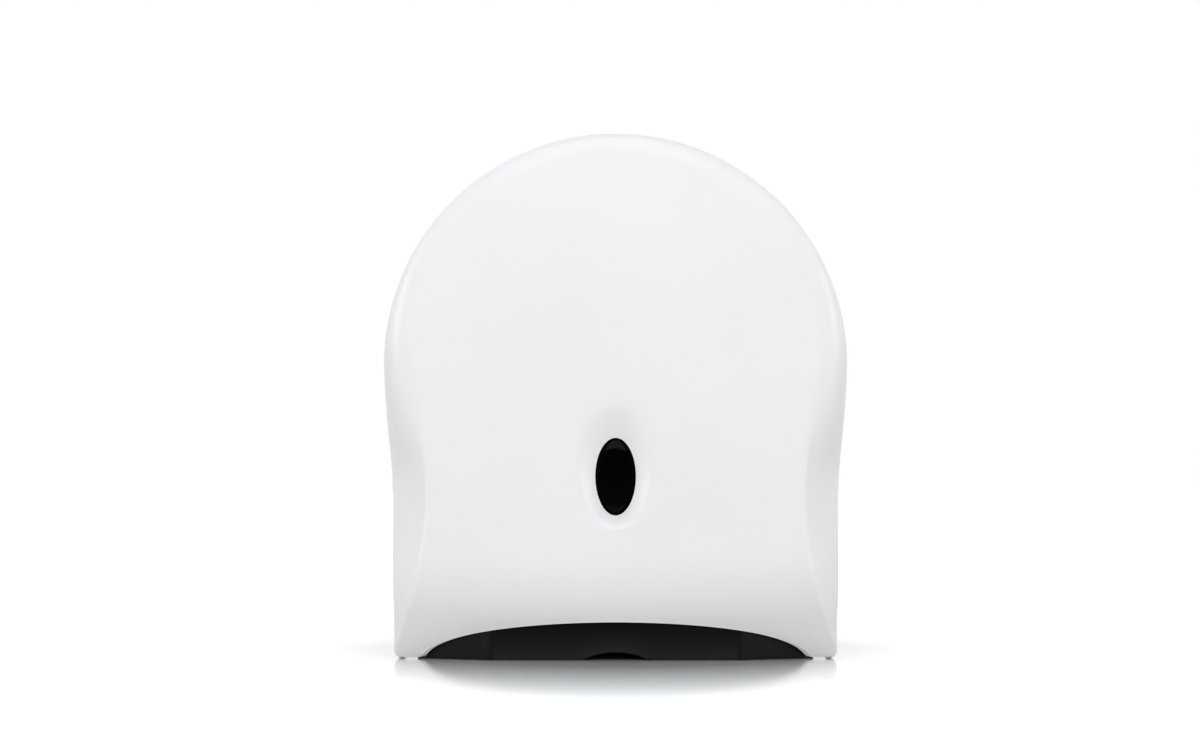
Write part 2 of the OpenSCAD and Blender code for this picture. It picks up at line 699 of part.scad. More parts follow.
guard_y = lip_back(facet_half_w) - guard_gap; // distance of the middle facet from the wall
facet_angle = atan2(facet_fall, tray_x - facet_half_w);
front_normal = [0, -1];
facet_normal = [sin(facet_angle), -cos(facet_angle)];
side_normal = [1, 0];
function inset_corner(p, n1, n2, t) = p - t * (n1 + n2) / (1 + n1 * n2);
function mirrored(points) = [for (k = [len(points) - 1:-1:0]) [-points[k][0], points[k][1]]];
function guard_half(t, back) = [
    [tray_x - t, -back],
    inset_corner([tray_x, facet_fall - guard_y], facet_normal, side_normal, t),
    inset_corner([facet_half_w, -guard_y], front_normal, facet_normal, t)
];
function guard_outline(t, back) = concat(guard_half(t, back), mirrored(guard_half(t, back)));

n_notch = 24;
notch_power = 2.2; // 2 is a parabola
function notch_z(x) = notch_h * (1 - pow(abs(x) / notch_half_w, notch_power));
module notch_2d() {
    polygon(concat(
        [[-notch_half_w, -over]],
        [for (k = [0:n_notch]) let (x = notch_half_w * (2 * k / n_notch - 1)) [x, notch_z(x)]],
        [[notch_half_w, -over]]
    ));
}

tab_h = 22;
tab_margin = 8;
blade_setback = 1;  // of the root of the teeth from the edge of the paper's way out
blade_end_gap = 3;  // from a blade's end to the tray's wall
blade_x = exit_half_w + blade_setback;
blade_y0 = guard_y - tray_wall - blade_end_gap;
blade_y1 = tray_back + tray_wall + blade_end_gap;
rivet_margin = 6;   // from a blade's end to its first rivet
function blade_rivet_y(k) = -mix(blade_y0 - rivet_margin, blade_y1 + rivet_margin, k / (blade_rivet_n - 1));
rivet_r = screw_r;
rivet_gap = 0.05;
rivet_start = 0.3;  // above the tray's underside

module bottom_tray() {
    color(gloss_black) difference() {
        union() {
            difference() {
                linear_extrude(guard_h) polygon(guard_outline(0, tray_side_stop));
                translate([0, 0, -over]) linear_extrude(guard_h + 2 * over)
                    polygon(guard_outline(tray_wall, tray_side_stop - over));
            }
            linear_extrude(tray_wall) difference() {
                polygon(guard_outline(tray_wall / 2, tray_back));
                translate([-exit_half_w, -guard_y + tray_wall]) square([2 * exit_half_w, guard_y]);
            }
            both_sides() box([tray_screw_x[0] - tab_margin, -tray_back - tray_wall, 0],
                [tray_screw_x[1] + tab_margin, -tray_back, tab_h]);
        }
        slab(guard_y - tray_wall - over, guard_y + over) notch_2d();
        both_sides() {
            for (x = tray_screw_x)
                bar_y(x, tray_screw_z, screw_r + screw_gap, tray_back - over, tray_back + tray_wall + over);
            for (k = [0:blade_rivet_n - 1])
                bar_z(blade_x + blade_w / 2, blade_rivet_y(k), rivet_r + rivet_gap, -over, tray_wall + over);
        }
    }
}
module tray_screws() {
    both_sides() for (x = tray_screw_x)
        screw_y(x, tray_screw_z, tray_back + tray_wall + seat, tray_wall + pilot_depth - screw_tip_gap);
}

// ---------------------------------------------------------------- tear blades

n_teeth = floor((blade_y0 - blade_y1) / tooth_pitch);
module blade_2d() {
    y_start = -blade_y0;
    polygon(concat(
        [for (k = [0:n_teeth - 1]) each [
            [blade_x, y_start + k * tooth_pitch],
            [blade_x - tooth_h, y_start + (k + 0.5) * tooth_pitch]
        ]],
        [[blade_x, y_start + n_teeth * tooth_pitch],
         [blade_x + blade_w, y_start + n_teeth * tooth_pitch],
         [blade_x + blade_w, y_start]]
    ));
}
module tear_blades() {
    color(steel) both_sides() difference() {
        translate([0, 0, tray_wall + seat]) linear_extrude(blade_t) blade_2d();
        for (k = [0:blade_rivet_n - 1])
            bar_z(blade_x + blade_w / 2, blade_rivet_y(k), rivet_r + rivet_gap,
                0, tray_wall + blade_t + over);
    }
}
rivet_head_r = 2.6;
rivet_head_h = 1;
module blade_rivets() {
    color(steel) both_sides() for (k = [0:blade_rivet_n - 1]) {
        bar_z(blade_x + blade_w / 2, blade_rivet_y(k), rivet_r,
            rivet_start, tray_wall + blade_t + 2 * seat + eps);
        bar_z(blade_x + blade_w / 2, blade_rivet_y(k), rivet_head_r,
            tray_wall + blade_t + 2 * seat, tray_wall + blade_t + 2 * seat + rivet_head_h);
    }
}

// ---------------------------------------------------------------- spindle

axle_flange_y = plate_t + boss_h + seat;
thrust_t = 2.5;
thrust_y = axle_flange_y + axle_flange_t + seat;
hub_y = thrust_y + thrust_t + seat;
hub_front = hub_y + hub_flange_t + hub_len;
core_stop = 9;               // the inner tube ends this far behind the hub's front
core_front = hub_front - core_stop;
bush_r = axle_r + axle_play + bush_wall;
core_r = bush_r + hub_wall;
brake_t = 0.9;
axle_end = core_front + seat + brake_t;
web_n = 6;
web_t = 2;
web_root = 0.5;              // how far the webs run into both tubes
washer_gap = 0.2;            // radial gap of the washers on the axle
washer_lip = 1;              // how far the inner tube reaches past the washers
end_screw_r = 2.5;
end_screw_len = 12;
end_screw_head_h = 2.5;

module axle() {
    color(steel) difference() {
        union() {
            bar_y(0, dome_z, axle_r, plate_t + boss_h - axle_tail, axle_end);
            bar_y(0, dome_z, axle_flange_r, axle_flange_y, axle_flange_y + axle_flange_t);
        }
        bar_y(0, dome_z, end_screw_r + seat, axle_end - end_screw_len - screw_tip_gap, axle_end + over);
        about_spindle(axle_screw_n, 45)
            bar_y(axle_screw_pcr, 0, screw_r + screw_gap,
                axle_flange_y - over, axle_flange_y + axle_flange_t + over);
    }
}
module axle_screws() {
    about_spindle(axle_screw_n, 45)
        screw_y(axle_screw_pcr, 0, axle_flange_y + axle_flange_t + seat,
            pilot_depth + axle_flange_t - screw_tip_gap);
}
module washer_y(inner, outer, near, far) {
    slab(near, far) translate([0, dome_z]) difference() {
        circle(outer);
        circle(inner);
    }
}
module thrust_washer() {
    color(bush_white) washer_y(axle_r + washer_gap, core_r - washer_lip, thrust_y, thrust_y + thrust_t);
}
module brake_washer() {
    color(steel) washer_y(axle_r + washer_gap, core_r - washer_lip, core_front + seat, core_front + brake_t);
}
module axle_end_screw() {
    screw_y(0, dome_z, axle_end + seat, end_screw_len, end_screw_r, core_r, end_screw_head_h);
}
module roll_hub() {
    color(hub_grey) {
        slab(hub_y, hub_y + hub_flange_t) translate([0, dome_z]) difference() {
            circle(hub_flange_r);
            circle(bush_r + seat / 2);
            for (k = [0:web_n - 1]) rotate(360 * (k + 0.5) / web_n)
                translate([(hub_r + hub_flange_r) / 2, 0]) circle((hub_flange_r - hub_r) / 4);
        }
        washer_y(hub_r - hub_wall, hub_r, hub_y + hub_flange_t - eps, hub_front);
        washer_y(bush_r + seat / 2, core_r, hub_y + hub_flange_t - eps, core_front);
        about_spindle(web_n)
            box([core_r - web_root, -core_front, -web_t / 2],
                [hub_r - hub_wall + web_root, -hub_y - hub_flange_t + eps, web_t / 2]);
    }
}
module hub_bushes() {
    color(bush_white) {
        washer_y(axle_r + axle_play, bush_r, hub_y, hub_y + bush_len);
        washer_y(axle_r + axle_play, bush_r, core_front - bush_len, core_front);
    }
}
cap_t = 2;
cap_spigot = 4;
cap_inset = 0.2;  // of the cap's edge inside the hub's
cap_fit = 0.1;    // radial gap of the spigot
module hub_cap() {
    color(hub_grey) {
        slab(hub_front + seat, hub_front + seat + cap_t) translate([0, dome_z]) circle(hub_r - cap_inset);
        washer_y(hub_r - 2 * hub_wall, hub_r - hub_wall - cap_fit,
            hub_front - cap_spigot, hub_front + seat + eps);
    }
}

// ---------------------------------------------------------------- lock

lock_len = 10;       // from the top of the dome to the bottom of the body
body_bottom = top_z - lock_len;
nut_top = top_z - lock_boss_depth - seat;
nut_t = 2.4;
nut_margin = 3.7;    // from the body to the nut's corners
cam_gap = 0.35;
cam_top = body_bottom - cam_gap;
cam_hub_r = cam_w / 2 + 1;
tail_w = 5;
tail_gap = 0.05;
tail_short = 0.1;    // the tail ends this far above the cam's underside
barrel_proud = 0.3;  // below the body
barrel_sink = 0.1;   // below the head's top

module lock_body() {
    color(steel) difference() {
        union() {
            bar_z(0, -lock_y, lock_r, body_bottom, top_z - lock_recess + seat + eps);
            bar_z(0, -lock_y, lock_head_r, top_z - lock_recess + seat, top_z - lock_head_sink);
        }
        bar_z(0, -lock_y, barrel_r + barrel_play, body_bottom - over, top_z);
    }
}
module lock_nut() {
    color(steel) difference() {
        translate([0, -lock_y, nut_top - nut_t]) cylinder(r = lock_r + nut_margin, h = nut_t, $fn = 6);
        bar_z(0, -lock_y, lock_r + seat, nut_top - nut_t - over, nut_top + over);
    }
}
key_w = 1.6;
key_depth = 5;
key_reach = 0.7;       // half length of the keyway, in barrel radii
key_side_reach = 0.35; // half length of its cross slot, in barrel radii
cam_screw_len = 2;     // above the bottom of the body
module lock_barrel() {
    color(steel) difference() {
        union() {
            bar_z(0, -lock_y, barrel_r, body_bottom - barrel_proud, top_z - lock_head_sink - barrel_sink);
            box([-tail_w / 2, -lock_y - tail_w / 2, cam_top - cam_t + tail_short],
                [tail_w / 2, -lock_y + tail_w / 2, body_bottom]);
        }
        box([-key_w / 2, -lock_y - barrel_r * key_reach, top_z - key_depth],
            [key_w / 2, -lock_y + barrel_r * key_reach, top_z + over]);
        box([-barrel_r * key_side_reach, -lock_y - key_w / 2, top_z - key_depth],
            [barrel_r * key_side_reach, -lock_y + key_w / 2, top_z + over]);
        bar_z(0, -lock_y, screw_r + seat,
            cam_top - cam_t - over, body_bottom + cam_screw_len + screw_tip_gap);
    }
}
module lock_cam() {
    color(steel) difference() {
        union() {
            bar_z(0, -lock_y, cam_hub_r, cam_top - cam_t, cam_top);
            box([-cam_w / 2, -lock_y, cam_top - cam_t], [cam_w / 2, -lock_y + cam_len, cam_top]);
        }
        box([-tail_w / 2 - tail_gap, -lock_y - tail_w / 2 - tail_gap, cam_top - cam_t - over],
            [tail_w / 2 + tail_gap, -lock_y + tail_w / 2 + tail_gap, cam_top + over]);
    }
}
cam_screw_lap = 1.2;   // how far its head reaches past the tail
module cam_screw() {
    head_top = cam_top - cam_t - seat;
    color(steel) {
        bar_z(0, -lock_y, screw_r, head_top - eps, body_bottom + cam_screw_len);
        bar_z(0, -lock_y, tail_w / 2 + cam_screw_lap, head_top - screw_head_h, head_top);
    }
}
striker_gap = 0.3;
striker_y0 = lock_y + cam_hub_r + striker_gap;
striker_top = cam_top - striker_gap;
striker_arm_drop = 3;      // of the arm below the cam
striker_arm_z = cam_top - cam_t - striker_arm_drop;
striker_side_gap = 0.8;
striker_x0 = lock_r + striker_side_gap;
striker_foot_lap = 2;      // how far the foot is wider than the arm
striker_screw_short = 0.8; // screw ends this far from the plate's back
module striker() {
    arm_low = striker_arm_z - striker_t;
    foot_low = striker_foot_z[1] - striker_margin;
    color(steel) difference() {
        union() {
            box([striker_x0, -striker_y0 - striker_t, arm_low], [striker_x, -striker_y0, striker_top]);
            box([striker_x0, -striker_y0 - eps, arm_low], [striker_x, -plate_t - seat, striker_arm_z]);
            box([striker_x0 - striker_foot_lap, -plate_t - seat - striker_t, foot_low],
                [striker_x, -plate_t - seat, striker_arm_z]);
        }
        for (z = striker_foot_z)
            bar_y(striker_screw_x, z, screw_r + screw_gap, plate_t - over, plate_t + striker_t + 2 * over);
    }
}
module striker_screws() {
    for (z = striker_foot_z)
        screw_y(striker_screw_x, z, plate_t + striker_t + 2 * seat,
            striker_t + plate_t - striker_screw_short);
}

back_plate();
bottom_tray();
front_cover();
window_lens();
lens_retainer();
retainer_screws();
hinge_pin_left();
hinge_pin_right();
axle();
axle_screws();
roll_hub();
hub_bushes();
thrust_washer();
brake_washer();
axle_end_screw();
hub_cap();
lock_body();
lock_nut();
lock_barrel();
lock_cam();
cam_screw();
striker();
striker_screws();
tear_blades();
blade_rivets();
tray_screws();
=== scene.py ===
import math

import bmesh
import bpy
import numpy as np
from bpy.props import FloatProperty, FloatVectorProperty, PointerProperty
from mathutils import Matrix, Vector


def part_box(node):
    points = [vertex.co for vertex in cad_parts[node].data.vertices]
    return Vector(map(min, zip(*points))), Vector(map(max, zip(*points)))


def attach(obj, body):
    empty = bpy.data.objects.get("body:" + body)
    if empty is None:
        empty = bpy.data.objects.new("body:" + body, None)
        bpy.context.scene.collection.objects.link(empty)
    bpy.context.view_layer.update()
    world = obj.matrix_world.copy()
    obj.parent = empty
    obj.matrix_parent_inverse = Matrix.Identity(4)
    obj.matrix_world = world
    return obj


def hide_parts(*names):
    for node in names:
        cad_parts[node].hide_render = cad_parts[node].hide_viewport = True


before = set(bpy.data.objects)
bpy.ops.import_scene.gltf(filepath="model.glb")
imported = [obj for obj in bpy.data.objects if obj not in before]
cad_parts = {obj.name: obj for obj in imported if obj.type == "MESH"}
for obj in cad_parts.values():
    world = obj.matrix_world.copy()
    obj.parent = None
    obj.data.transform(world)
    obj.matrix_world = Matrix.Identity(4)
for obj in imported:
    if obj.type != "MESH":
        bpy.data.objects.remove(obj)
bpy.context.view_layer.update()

bl_info = {
    "name": "Jumbo Toilet Roll Dispenser",
    "version": (1, 0, 0),
    "blender": (4, 5, 0),
    "location": "3D View > Sidebar > Dispenser",
    "description": "Dresses the wall dispenser for jumbo toilet rolls",
    "category": "Object",
}

MM = 0.001
JOIN = 2e-6     # points closer than this are one point
COVER_LOW, COVER_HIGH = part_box("front_cover")
LENS_LOW, LENS_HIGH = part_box("window_lens")
TRAY_LOW, TRAY_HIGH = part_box("bottom_tray")
DOME_R = COVER_HIGH[0]
DOME_Z = COVER_HIGH[2] - DOME_R


# ---------------------------------------------------------------- sizes and colours

def length(name, description, default):
    """A size in metres that shows in the scene's length unit."""
    return FloatProperty(name=name, description=description, default=default, unit="LENGTH", precision=4)


def share(name, description, default):
    """A plain factor."""
    return FloatProperty(name=name, description=description, default=default, precision=3)


def angle(name, description, default):
    """An angle, given here in degrees."""
    return FloatProperty(name=name, description=description, default=math.radians(default), subtype="ANGLE")


def tint(name, description, default):
    """A linear colour."""
    return FloatVectorProperty(name=name, description=description, default=default, subtype="COLOR",
                               min=0.0, max=1.0)


class CoverSizes(bpy.types.PropertyGroup):
    """Sizes of the white cover"""
    dome_r: length("Dome radius", "Radius of the domed top", DOME_R)
    dome_z: length("Dome height", "Height of the dome's centre", DOME_Z)
    depth: length("Depth", "Distance from the wall to the front face", -COVER_LOW[1])
    side_taper: length("Side taper", "How much each side draws in towards the foot", 0.006)
    taper_power: share("Taper power", "Exponent of the draw-in", 1.3)
    wall: length("Wall", "Thickness of the moulding", 0.0028)
    draft: length("Draft", "Draft of the side wall on the dome", 0.0012)
    foot_r: length("Foot radius", "Radius of the lower outer corners", 0.0055)
    foot_lift: length("Foot lift", "Height of the feet above the lower edge", 0.0006)
    edge_round: length("Soft edge", "Radius of the edge round the dome", 0.0125)
    waist_z: length("Waist height", "Height where the flanks cut in deepest", 0.118)
    waist_inset: length("Waist inset", "How far the crease lies inside the outline", 0.026)
    crease_end: length("Crease end", "Height at which the crease has run into the foot", 0.008)
    brow_angle: angle("Brow angle", "Where the crease has become the soft edge", 31)
    flank_depth: length("Flank depth", "Depth of the flank at the waist", 0.080)
    flank_reach: length("Flank reach", "Distance above the waist where the flank is half as deep", 0.040)
    foot_reach: length("Foot reach", "Distance below the waist where the flank is half as deep", 0.060)
    flank_fullness: share("Flank fullness", "Roundness of the flank at the waist", 0.42)
    foot_fullness: share("Foot fullness", "Roundness of the flank at the foot", 0.6)
    chin_z: length("Chin height", "Height where the chin starts to curve back", 0.066)
    chin_rise: length("Chin rise", "How much higher the chin starts at the sides", 0.007)
    chin_r: length("Chin radius", "Radius of the chin", 0.060)
    chin_slope: angle("Chin slope", "Steepest slope of the chin", 43)
    mouth_half_w: length("Mouth half width", "Half width of the arched mouth", 0.1275)
    mouth_rise: length("Mouth rise", "Height of the arch above the feet", 0.0244)
    mouth_turn: angle("Mouth turn", "How far the arch turns before it stops at the feet", 80)
    mouth_power: share("Mouth power", "Squareness of the arch", 0.8)
    lip_height: length("Lip height", "How far the mouth's lip rolls outward", 0.0008)
    lip_width: length("Lip width", "Width of the roll along the mouth", 0.0014)
    lip_start: length("Lip start", "Height over which the roll fades out at the feet", 0.004)
    spoke_lean: share("Spoke lean", "Lean of the mesh's spokes where they leave the feet", 0.5)
    spoke_reach: length("Spoke reach", "Height below which the spokes lean", 0.110)
    crease_soft: length("Crease softness", "Length of the crease's rounding", 0.0024)
    rim_soft: length("Rim softness", "Width of the rounding on every rim", 0.0009)
    hinge_y: length("Hinge distance", "Distance of the hinge axis from the wall", 0.020)
    hinge_z: length("Hinge height", "Height of the hinge axis", 0.014)
    boss_r: length("Hinge boss radius", "Radius of the hinge bosses", 0.0075)
    pin_bore_r: length("Pin bore", "Radius of the bore for the hinge pin", 0.00306)


class WindowSizes(bpy.types.PropertyGroup):
    """Sizes of the level window and its dish"""
    window_z: length("Window height", "Height of the window's middle", 0.119)
    window_a: length("Half width", "Half width of the window", 0.0128)
    window_b: length("Half height", "Half height of the window", 0.0247)
    dish_rise: length("Dish rise", "Distance of the dish's middle above the window's", 0.007)
    dish_a: length("Dish half width", "Half width of the dish", 0.0234)
    dish_b: length("Dish half height", "Half height of the dish", 0.0391)
    dish_depth: length("Dish depth", "Depth of the dish at the window", 0.008)
    dish_curve: share("Dish curve", "How much the dish steepens towards the window", 1.2)
    rim_height: length("Rim height", "How far the window's rim rolls outward", 0.0005)
    rim_width: length("Rim width", "Width of the roll round the window", 0.0011)
    gap: length("Lens gap", "Gap between lens and cover", 0.0003)
    flange: length("Lens flange", "Width of the lens's flange", 0.003)
    flange_t: length("Flange thickness", "Thickness of the lens's flange", 0.0012)
    crown: length("Crown", "How much the lens bulges", 0.0011)


class TraySizes(bpy.types.PropertyGroup):
    """Sizes of the black tray and its guard"""
    facet_half_w: length("Facet half width", "Half width of the guard's middle facet", 0.0805)
    guard_y: length("Guard distance", "Distance of the middle facet from the wall", -TRAY_LOW[1])
    facet_fall: length("Facet fall", "How much the side facets fall back", 0.020)
    guard_h: length("Guard height", "Height of the guard", TRAY_HIGH[2])
    half_w: length("Half width", "Half width of the tray", TRAY_HIGH[0])
    wall: length("Wall", "Thickness of the tray's walls", 0.0025)
    side_stop: length("Side stop", "Distance the side walls stop short of the wall", 0.034)
    back: length("Back", "Distance of the floor's back edge from the wall", -TRAY_HIGH[1])
    exit_half_w: length("Exit half width", "Half width of the paper's way out", 0.075)
    notch_half_w: length("Notch half width", "Half width of the finger notch", 0.0215)
    notch_h: length("Notch height", "Height of the finger notch", 0.005)
    notch_power: share("Notch power", "Roundness of the notch, 2 is a parabola", 2.2)
    tab_h: length("Tab height", "Height of the screw tabs", 0.022)
    tab_x0: length("Tab inner edge", "Inner edge of each screw tab", 0.080)
    tab_x1: length("Tab outer edge", "Outer edge of each screw tab", 0.116)
    bend_soft: length("Bend softness", "Run of each bend's rounding", 0.0030)


class FinishColours(bpy.types.PropertyGroup):
    """Base colours of the finishes"""
    white: tint("Cover white", "Moulded white of the cover", (0.86, 0.862, 0.872))
    black: tint("Gloss black", "Polished black of the guard", (0.005, 0.005, 0.005))
    plate: tint("Plate black", "Textured black of the wall plate", (0.028, 0.028, 0.03))
    smoke: tint("Smoked lens", "Dark acrylic of the window", (0.0006, 0.0005, 0.0005))
    steel: tint("Zinc steel", "Zinc-plated steel", (0.60, 0.61, 0.63))
    chrome: tint("Chrome", "Chromed zinc of the lock", (0.72, 0.73, 0.75))
    grey: tint("Hub grey", "Moulded grey of the hub", (0.22, 0.225, 0.235))
    acetal: tint("Acetal", "Natural white of the bearings", (0.72, 0.71, 0.68))


# ---------------------------------------------------------------- mesh tools

def smooth(t):
    """Eases from 0 to 1: 3 t squared less 2 t cubed, held outside 0..1."""
    u = np.clip(t, 0.0, 1.0)
    return u * u * (3 - 2 * u)


def mix(a, b, t):
    """a at t 0, b at t 1."""
    return a + (b - a) * t


def quadratic(a, m, b, t):
    """The quadratic curve from a to b that leaves and arrives along its lines to m."""
    return (1 - t) ** 2 * a + 2 * t * (1 - t) * m + t * t * b


def lengths(rows):
    """The length of each row of an array of vectors, as a column."""
    return np.linalg.norm(rows, axis=1, keepdims=True)


def grid_quads(rows, columns, close_rows=False, close_columns=False, start=0):
    """Quads of a rows by columns grid of points, wound so that rows x columns faces out."""
    i = np.arange(rows if close_rows else rows - 1)
    j = np.arange(columns if close_columns else columns - 1)
    i, j = [a.ravel() for a in np.meshgrid(i, j, indexing="ij")]
    i2, j2 = (i + 1) % rows, (j + 1) % columns
    return start + np.stack([i * columns + j, i2 * columns + j, i2 * columns + j2, i * columns + j2], 1)


def vertex_normals(points, quads):
    """Unit normals of the points: the sum of the cross products of the diagonals of their quads."""
    a, b, c, d = [points[quads[:, k]] for k in range(4)]
    facing = np.cross(c - a, d - b)
    total = np.zeros_like(points)
    for k in range(4):
        np.add.at(total, quads[:, k], facing)
    return total / np.maximum(lengths(total), 1e-12)


class Shape:
    """Gathers patches of points and faces into one mesh."""

    def __init__(self):
        self.points, self.faces, self.count = [], [], 0

    def grid(self, points, close_rows=False, close_columns=False, flip=False):
        """Adds a rows by columns by 3 array of points as a sheet of quads."""
        rows, columns = points.shape[:2]
        quads = grid_quads(rows, columns, close_rows, close_columns, self.count)
        self.faces += (quads[:, ::-1] if flip else quads).tolist()
        self.points.append(points.reshape(-1, 3))
        self.count += rows * columns
        return self

    def cap(self, ring, flip=False):
        """Closes a ring of points with one flat face."""
        ids = list(range(self.count, self.count + len(ring)))
        self.faces.append(ids[::-1] if flip else ids)
        self.points.append(np.asarray(ring))
        self.count += len(ring)
        return self

    def lathe(self, profile, centre, axis, steps=64):
        """Turns a closed profile of (radius, height) pairs about an axis through centre.
        A point is centre + radius (cos a, sin a) across the axis + height along it."""
        a = np.linspace(0, 2 * math.pi, steps, endpoint=False)
        r, h = np.asarray(profile, float).T
        across = np.stack([np.cos(a), np.sin(a)], 1)[:, None, :] * r[None, :, None]
        up = np.broadcast_to(h[None, :, None], (steps, len(h), 1))
        local = np.concatenate([across, up], 2)
        order = {"x": (2, 0, 1), "y": (1, 2, 0), "z": (0, 1, 2)}[axis]
        points = local[:, :, list(order)] + np.asarray(centre)
        return self.grid(points, close_rows=True, close_columns=True)

    def prism(self, outline, low, high):
        """A flat outline of (x, y) pairs, raised from height low to height high."""
        ring = np.asarray(outline, float)
        floor, top = [np.column_stack([ring, np.full(len(ring), z)]) for z in (low, high)]
        self.grid(np.stack([floor, top], 1), close_rows=True)
        return self.cap(floor, flip=True).cap(top)

    def shell(self, points, quads, loops, wall, soft, steps=4):
        """Gives a sheet its wall. The inner skin is the outer one less wall times its normal. Each
        open loop, walked with the sheet on its left, drawn back by soft, gets a rim: a quarter round
        out of the outer skin, a flat, and a quarter round into the inner skin."""
        normal = vertex_normals(points, quads)
        outer, inner = points.copy(), points - wall * normal
        bend = np.linspace(0, 0.5 * math.pi, steps + 1)[None, :, None]
        for loop in loops:
            p, n = points[loop], normal[loop]
            way = np.roll(p, -1, 0) - np.roll(p, 1, 0)
            out = np.cross(way, n)
            out /= lengths(out)
            start = p - soft * out
            outer[loop], inner[loop] = start, start - wall * n
            p, n, out, start = [v[:, None] for v in (p, n, out, start)]
            first = start + soft * (np.sin(bend) * out - (1 - np.cos(bend)) * n)
            last = p - (wall - soft) * n - soft * ((1 - np.cos(bend)) * out + np.sin(bend) * n)
            self.grid(np.concatenate([first, last], 1), close_rows=True, flip=True)
        for skin, faces in ((outer, quads), (inner, quads[:, ::-1])):
            self.faces += (faces + self.count).tolist()
            self.points.append(skin)
            self.count += len(skin)
        return self

    def mesh(self, name):
        """The gathered patches as one mesh with their shared edges joined."""
        made = bpy.data.meshes.new(name)
        made.from_pydata(np.concatenate(self.points).tolist(), [], self.faces)
        work = bmesh.new()
        work.from_mesh(made)
        bmesh.ops.delete(work, geom=[v for v in work.verts if not v.link_faces], context="VERTS")
        bmesh.ops.remove_doubles(work, verts=work.verts, dist=JOIN)
        bmesh.ops.dissolve_degenerate(work, edges=work.edges, dist=1e-7)
        work.to_mesh(made)
        work.free()
        return made


def rounded(points, soft, steps=4):
    """A closed profile with each corner replaced by a quadratic curve that starts soft before the
    corner and ends soft after it, or at 0.45 of a side that is too short for that."""
    p = np.asarray(points, float)
    ends = []
    for way in (np.roll(p, 1, 0) - p, np.roll(p, -1, 0) - p):
        far = lengths(way)
        ends.append(p + way / np.maximum(far, 1e-9) * np.minimum(soft, far * 0.45))
    t = np.linspace(0, 1, steps + 1)[None, :, None]
    return quadratic(ends[0][:, None], p[:, None], ends[1][:, None], t).reshape(-1, p.shape[1])


def finish_piece(name, mesh, finish, body, replaced=(), modifiers=(), sharp=38.0):
    """Puts a mesh into the scene at the origin, bakes its modifiers, shades it smooth up to the
    sharp angle, gives it its finish by name and lets it ride on its body."""
    piece = bpy.data.objects.new(name, mesh)
    bpy.context.collection.objects.link(piece)
    for kind, values in modifiers:
        added = piece.modifiers.new(kind.title(), kind)
        for key, value in values.items():
            setattr(added, key, value)
    if modifiers:
        graph = bpy.context.evaluated_depsgraph_get()
        baked = bpy.data.meshes.new_from_object(piece.evaluated_get(graph))
        piece.modifiers.clear()
        piece.data = baked
        baked.name = name
    piece.data.shade_smooth()
    piece.data.set_sharp_from_angle(angle=math.radians(sharp))
    piece.data.materials.clear()
    piece.data.materials.append(bpy.data.materials[finish])
    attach(piece, body)
    if replaced:
        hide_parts(*replaced)


def dress(finish, soft, *nodes):
    """Gives CAD nodes a finish by name, and fine edges rounded over a width of soft."""
    material = bpy.data.materials[finish]
    for target in (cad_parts[node] for node in nodes):
        for place in target.material_slots:
            place.material = material
        if not target.material_slots:
            target.data.materials.append(material)
        target.modifiers.new("Join", "WELD").merge_threshold = JOIN
        flat = target.modifiers.new("Flat faces", "DECIMATE")
        flat.decimate_type, flat.angle_limit = "DISSOLVE", math.radians(0.5)
        edge = target.modifiers.new("Edges", "BEVEL")
        edge.width, edge.segments, edge.limit_method = soft, 2, "ANGLE"
        edge.angle_limit, edge.harden_normals = math.radians(35), False


# ---------------------------------------------------------------- materials

class Graph:
    """A short way to write a node tree, emptied first."""

    def __init__(self, owner):
        owner.use_nodes = True
        self.tree = owner.node_tree
        self.tree.nodes.clear()

    def add(self, kind, **values):
        """A new shader node with some of its settings."""
        node = self.tree.nodes.new("ShaderNode" + kind)
        for key, value in values.items():
            setattr(node, key, value)
        return node

    def link(self, source, target):
        """Joins an output socket to an input socket."""
        self.tree.links.new(source, target)

    def ramp(self, value, low, high, to_low=0.0, to_high=1.0):
        """Maps low..high to to_low..to_high and holds it outside."""
        node = self.add("MapRange", clamp=True)
        for key, number in zip(("From Min", "From Max", "To Min", "To Max"), (low, high, to_low, to_high)):
            node.inputs[key].default_value = number
        self.link(value, node.inputs["Value"])
        return node.outputs["Result"]

    def math(self, operation, a, b):
        """The result of an operation on two values, each a socket or a plain number."""
        node = self.add("Math", operation=operation)
        for socket, value in zip(node.inputs, (a, b)):
            if isinstance(value, (int, float)):
                socket.default_value = value
            else:
                self.link(value, socket)
        return node.outputs[0]


